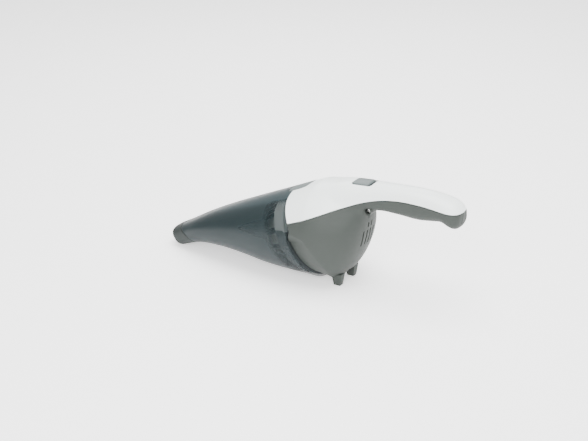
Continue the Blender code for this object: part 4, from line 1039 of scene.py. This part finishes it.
def build_latch():
    """Release button: a patch of the skin with upright sides and rolled edges."""
    across = np.sin(np.linspace(-math.pi / 2, math.pi / 2, 61))
    shares = np.sin(np.linspace(-math.pi / 2, math.pi / 2, 41))[:, None]
    x = LATCH_CENTRE + latch_reach(across) * shares
    y = np.broadcast_to(LATCH_HALF_WIDTH * across, x.shape)
    grid = np.stack((x, y, top_height(x, y)), axis=-1)
    reach = np.maximum(latch_reach(across), 1e-6)
    edge = np.minimum(reach * (1 - np.abs(shares)), LATCH_HALF_WIDTH * (1 - np.abs(across)))
    near = np.clip(edge / 0.0006, 0.0, 1.0)
    grid[..., 2] -= 0.0006 * (1.0 - np.sqrt(1.0 - (1.0 - near) ** 2))
    wall = 0.0012 + 0.0014 * smooth_step(-0.0205, -0.0175, x)
    inner = grid.copy()
    inner[..., 2] = top_height(x, y) - wall
    latch = closed_shell("release_tongue", grid, inner)
    latch.data.set_sharp_from_angle(angle=math.radians(50.0))
    finish(latch, PALE, "latch", "pale_grey_plastic", "release_button")


def build_slider():
    """Slide switch: a crowned pad with rounded corners and a bevelled rim."""
    shares = np.sin(np.linspace(-math.pi / 2, math.pi / 2, 41))
    along = 0.5 + 0.5 * np.sin(np.linspace(-math.pi / 2, math.pi / 2, 51))
    end = np.clip(np.abs(2.0 * along - 1.0) - (1.0 - 2.0 * SLIDER_CORNER / SLIDER_LENGTH), 0.0, None)
    end = end / (2.0 * SLIDER_CORNER / SLIDER_LENGTH)
    half = SLIDER_WIDTH / 2 - SLIDER_CORNER * (1.0 - np.sqrt(np.maximum(1.0 - end**2, 0.0)))
    x = (SLIDER_X - SLIDER_LENGTH / 2 + SLIDER_LENGTH * along)[:, None]
    x, y = np.broadcast_arrays(x, half[:, None] * shares)
    ends = SLIDER_LENGTH / 2 * (1.0 - np.abs(2.0 * along - 1.0))[:, None]
    edge = np.minimum(ends, half[:, None] * (1 - np.abs(shares)))
    near = np.clip(edge / 0.0016, 0.0, 1.0)
    crown = SLIDER_PROUD * (1.0 - 1.3 * (1.0 - near) ** 1.5)
    grid = np.stack((x, y, top_height(x, y) + crown), axis=-1)
    inner = grid.copy()
    inner[..., 2] = top_height(x, y) - 0.0024
    pad = closed_shell("switch_pad", grid, inner)
    pad.data.set_sharp_from_angle(angle=math.radians(50.0))
    finish(pad, PALE, "slider", "pale_grey_plastic", "power_slider")


def finish_frame_nodes():
    """Materials for the CAD nodes that stay."""
    kinds = (
        (DARK, ("intake_grille", "filter_screen", "fan", "motor_end_cap", "micro_switch", "charge_bay")),
        (PALE, ("fan_shroud", "motor_sleeve")),
        (RUBBER, ("flap", "filter_seal", "motor_mount_front", "motor_mount_rear")),
        (CLOTH, ("filter_cup",)),
        (STEEL, ("flap_pin", "motor_can", "motor_shaft", "cell_clip_left", "cell_clip_right")),
        (STEEL, ("latch_spring", "screw_root")),
        (BRASS, ("charge_contact_left", "charge_contact_right")),
        (BOARD, ("circuit_board",)),
        (WRAP, ("battery_cell_1", "battery_cell_2")),
    )
    for material, names in kinds:
        for name in names:
            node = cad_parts[name]
            if not node.material_slots:
                node.data.materials.append(material)
            for slot in node.material_slots:
                slot.material = material


# ---- stage -------------------------------------------------------------------------------------


FLOOR_GLOW = 0.85


def build_floor():
    bm = bmesh.new()
    bmesh.ops.create_circle(bm, cap_ends=True, segments=96, radius=6.0)
    mesh = bpy.data.meshes.new("floor")
    bm.to_mesh(mesh)
    bm.free()
    floor = bpy.data.objects.new("floor", mesh)
    bpy.context.scene.collection.objects.link(floor)
    nodes = Nodes("pale_floor")
    nodes.shader.inputs["Base Color"].default_value = (0.93, 0.93, 0.93, 1.0)
    nodes.shader.inputs["Roughness"].default_value = 0.9
    nodes.shader.inputs["Emission Color"].default_value = (1.0, 1.0, 1.0, 1.0)
    nodes.shader.inputs["Emission Strength"].default_value = FLOOR_GLOW
    mesh.materials.append(nodes.material)


def area_light(name, position, target, size, power, color=(1.0, 1.0, 1.0)):
    light = bpy.data.lights.new(name, "AREA")
    light.shape = "RECTANGLE"
    light.size, light.size_y = size
    light.energy = power
    light.color = color
    obj = bpy.data.objects.new(name, light)
    bpy.context.scene.collection.objects.link(obj)
    obj.location = position
    obj.rotation_euler = (Vector(target) - Vector(position)).to_track_quat("-Z", "Y").to_euler()
    return obj


WORLD_LEFT = 0.6
WORLD_RIGHT = 2.0


def build_light():
    world = bpy.data.worlds.new("studio")
    bpy.context.scene.world = world
    world.use_nodes = True
    tree = world.node_tree
    background = tree.nodes["Background"]
    background.inputs["Strength"].default_value = 1.0
    place = tree.nodes.new("ShaderNodeTexCoord")
    split = tree.nodes.new("ShaderNodeSeparateXYZ")
    level = tree.nodes.new("ShaderNodeMapRange")
    level.inputs["From Min"].default_value = -1.0
    level.inputs["To Min"].default_value = WORLD_LEFT
    level.inputs["To Max"].default_value = WORLD_RIGHT
    tree.links.new(place.outputs["Generated"], split.inputs["Vector"])
    tree.links.new(split.outputs["X"], level.inputs["Value"])
    tree.links.new(level.outputs["Result"], background.inputs["Color"])
    area_light("top_softbox", (0.10, 0.05, 1.2), (0.0, 0.0, 0.05), (1.2, 0.9), 30.0)
    area_light("key_front", (0.45, -1.2, 0.8), (0.0, 0.0, 0.05), (0.9, 0.7), 20.0)
    area_light("rim", (-0.6, 0.9, 0.8), (0.0, 0.0, 0.05), (0.8, 0.5), 6.0)


def build_camera():
    turn, rise, roll = math.radians(32.5), math.radians(23.0), math.radians(-1.0475)
    target = Vector((-0.02426, 0.0, 0.06009))
    back = Vector((math.sin(turn) * math.cos(rise), -math.cos(turn) * math.cos(rise), math.sin(rise)))
    across = Vector((math.cos(turn), math.sin(turn), 0.0))
    up = back.cross(across)
    right = across * math.cos(roll) + up * math.sin(roll)
    above = back.cross(right)
    camera = bpy.data.cameras.new("camera")
    camera.lens = 85.0
    camera.sensor_width = 36.0
    obj = bpy.data.objects.new("camera", camera)
    bpy.context.scene.collection.objects.link(obj)
    axes = Matrix((right, above, back)).transposed()
    obj.matrix_world = Matrix.Translation(target + back * 1.6287) @ axes.to_4x4()
    bpy.context.scene.camera = obj


build_bowl()
build_nozzle()
build_duct()
build_collar()
build_filter_frame()
build_housing()
build_cover()
build_latch()
build_slider()
finish_frame_nodes()
build_floor()
build_light()
build_camera()
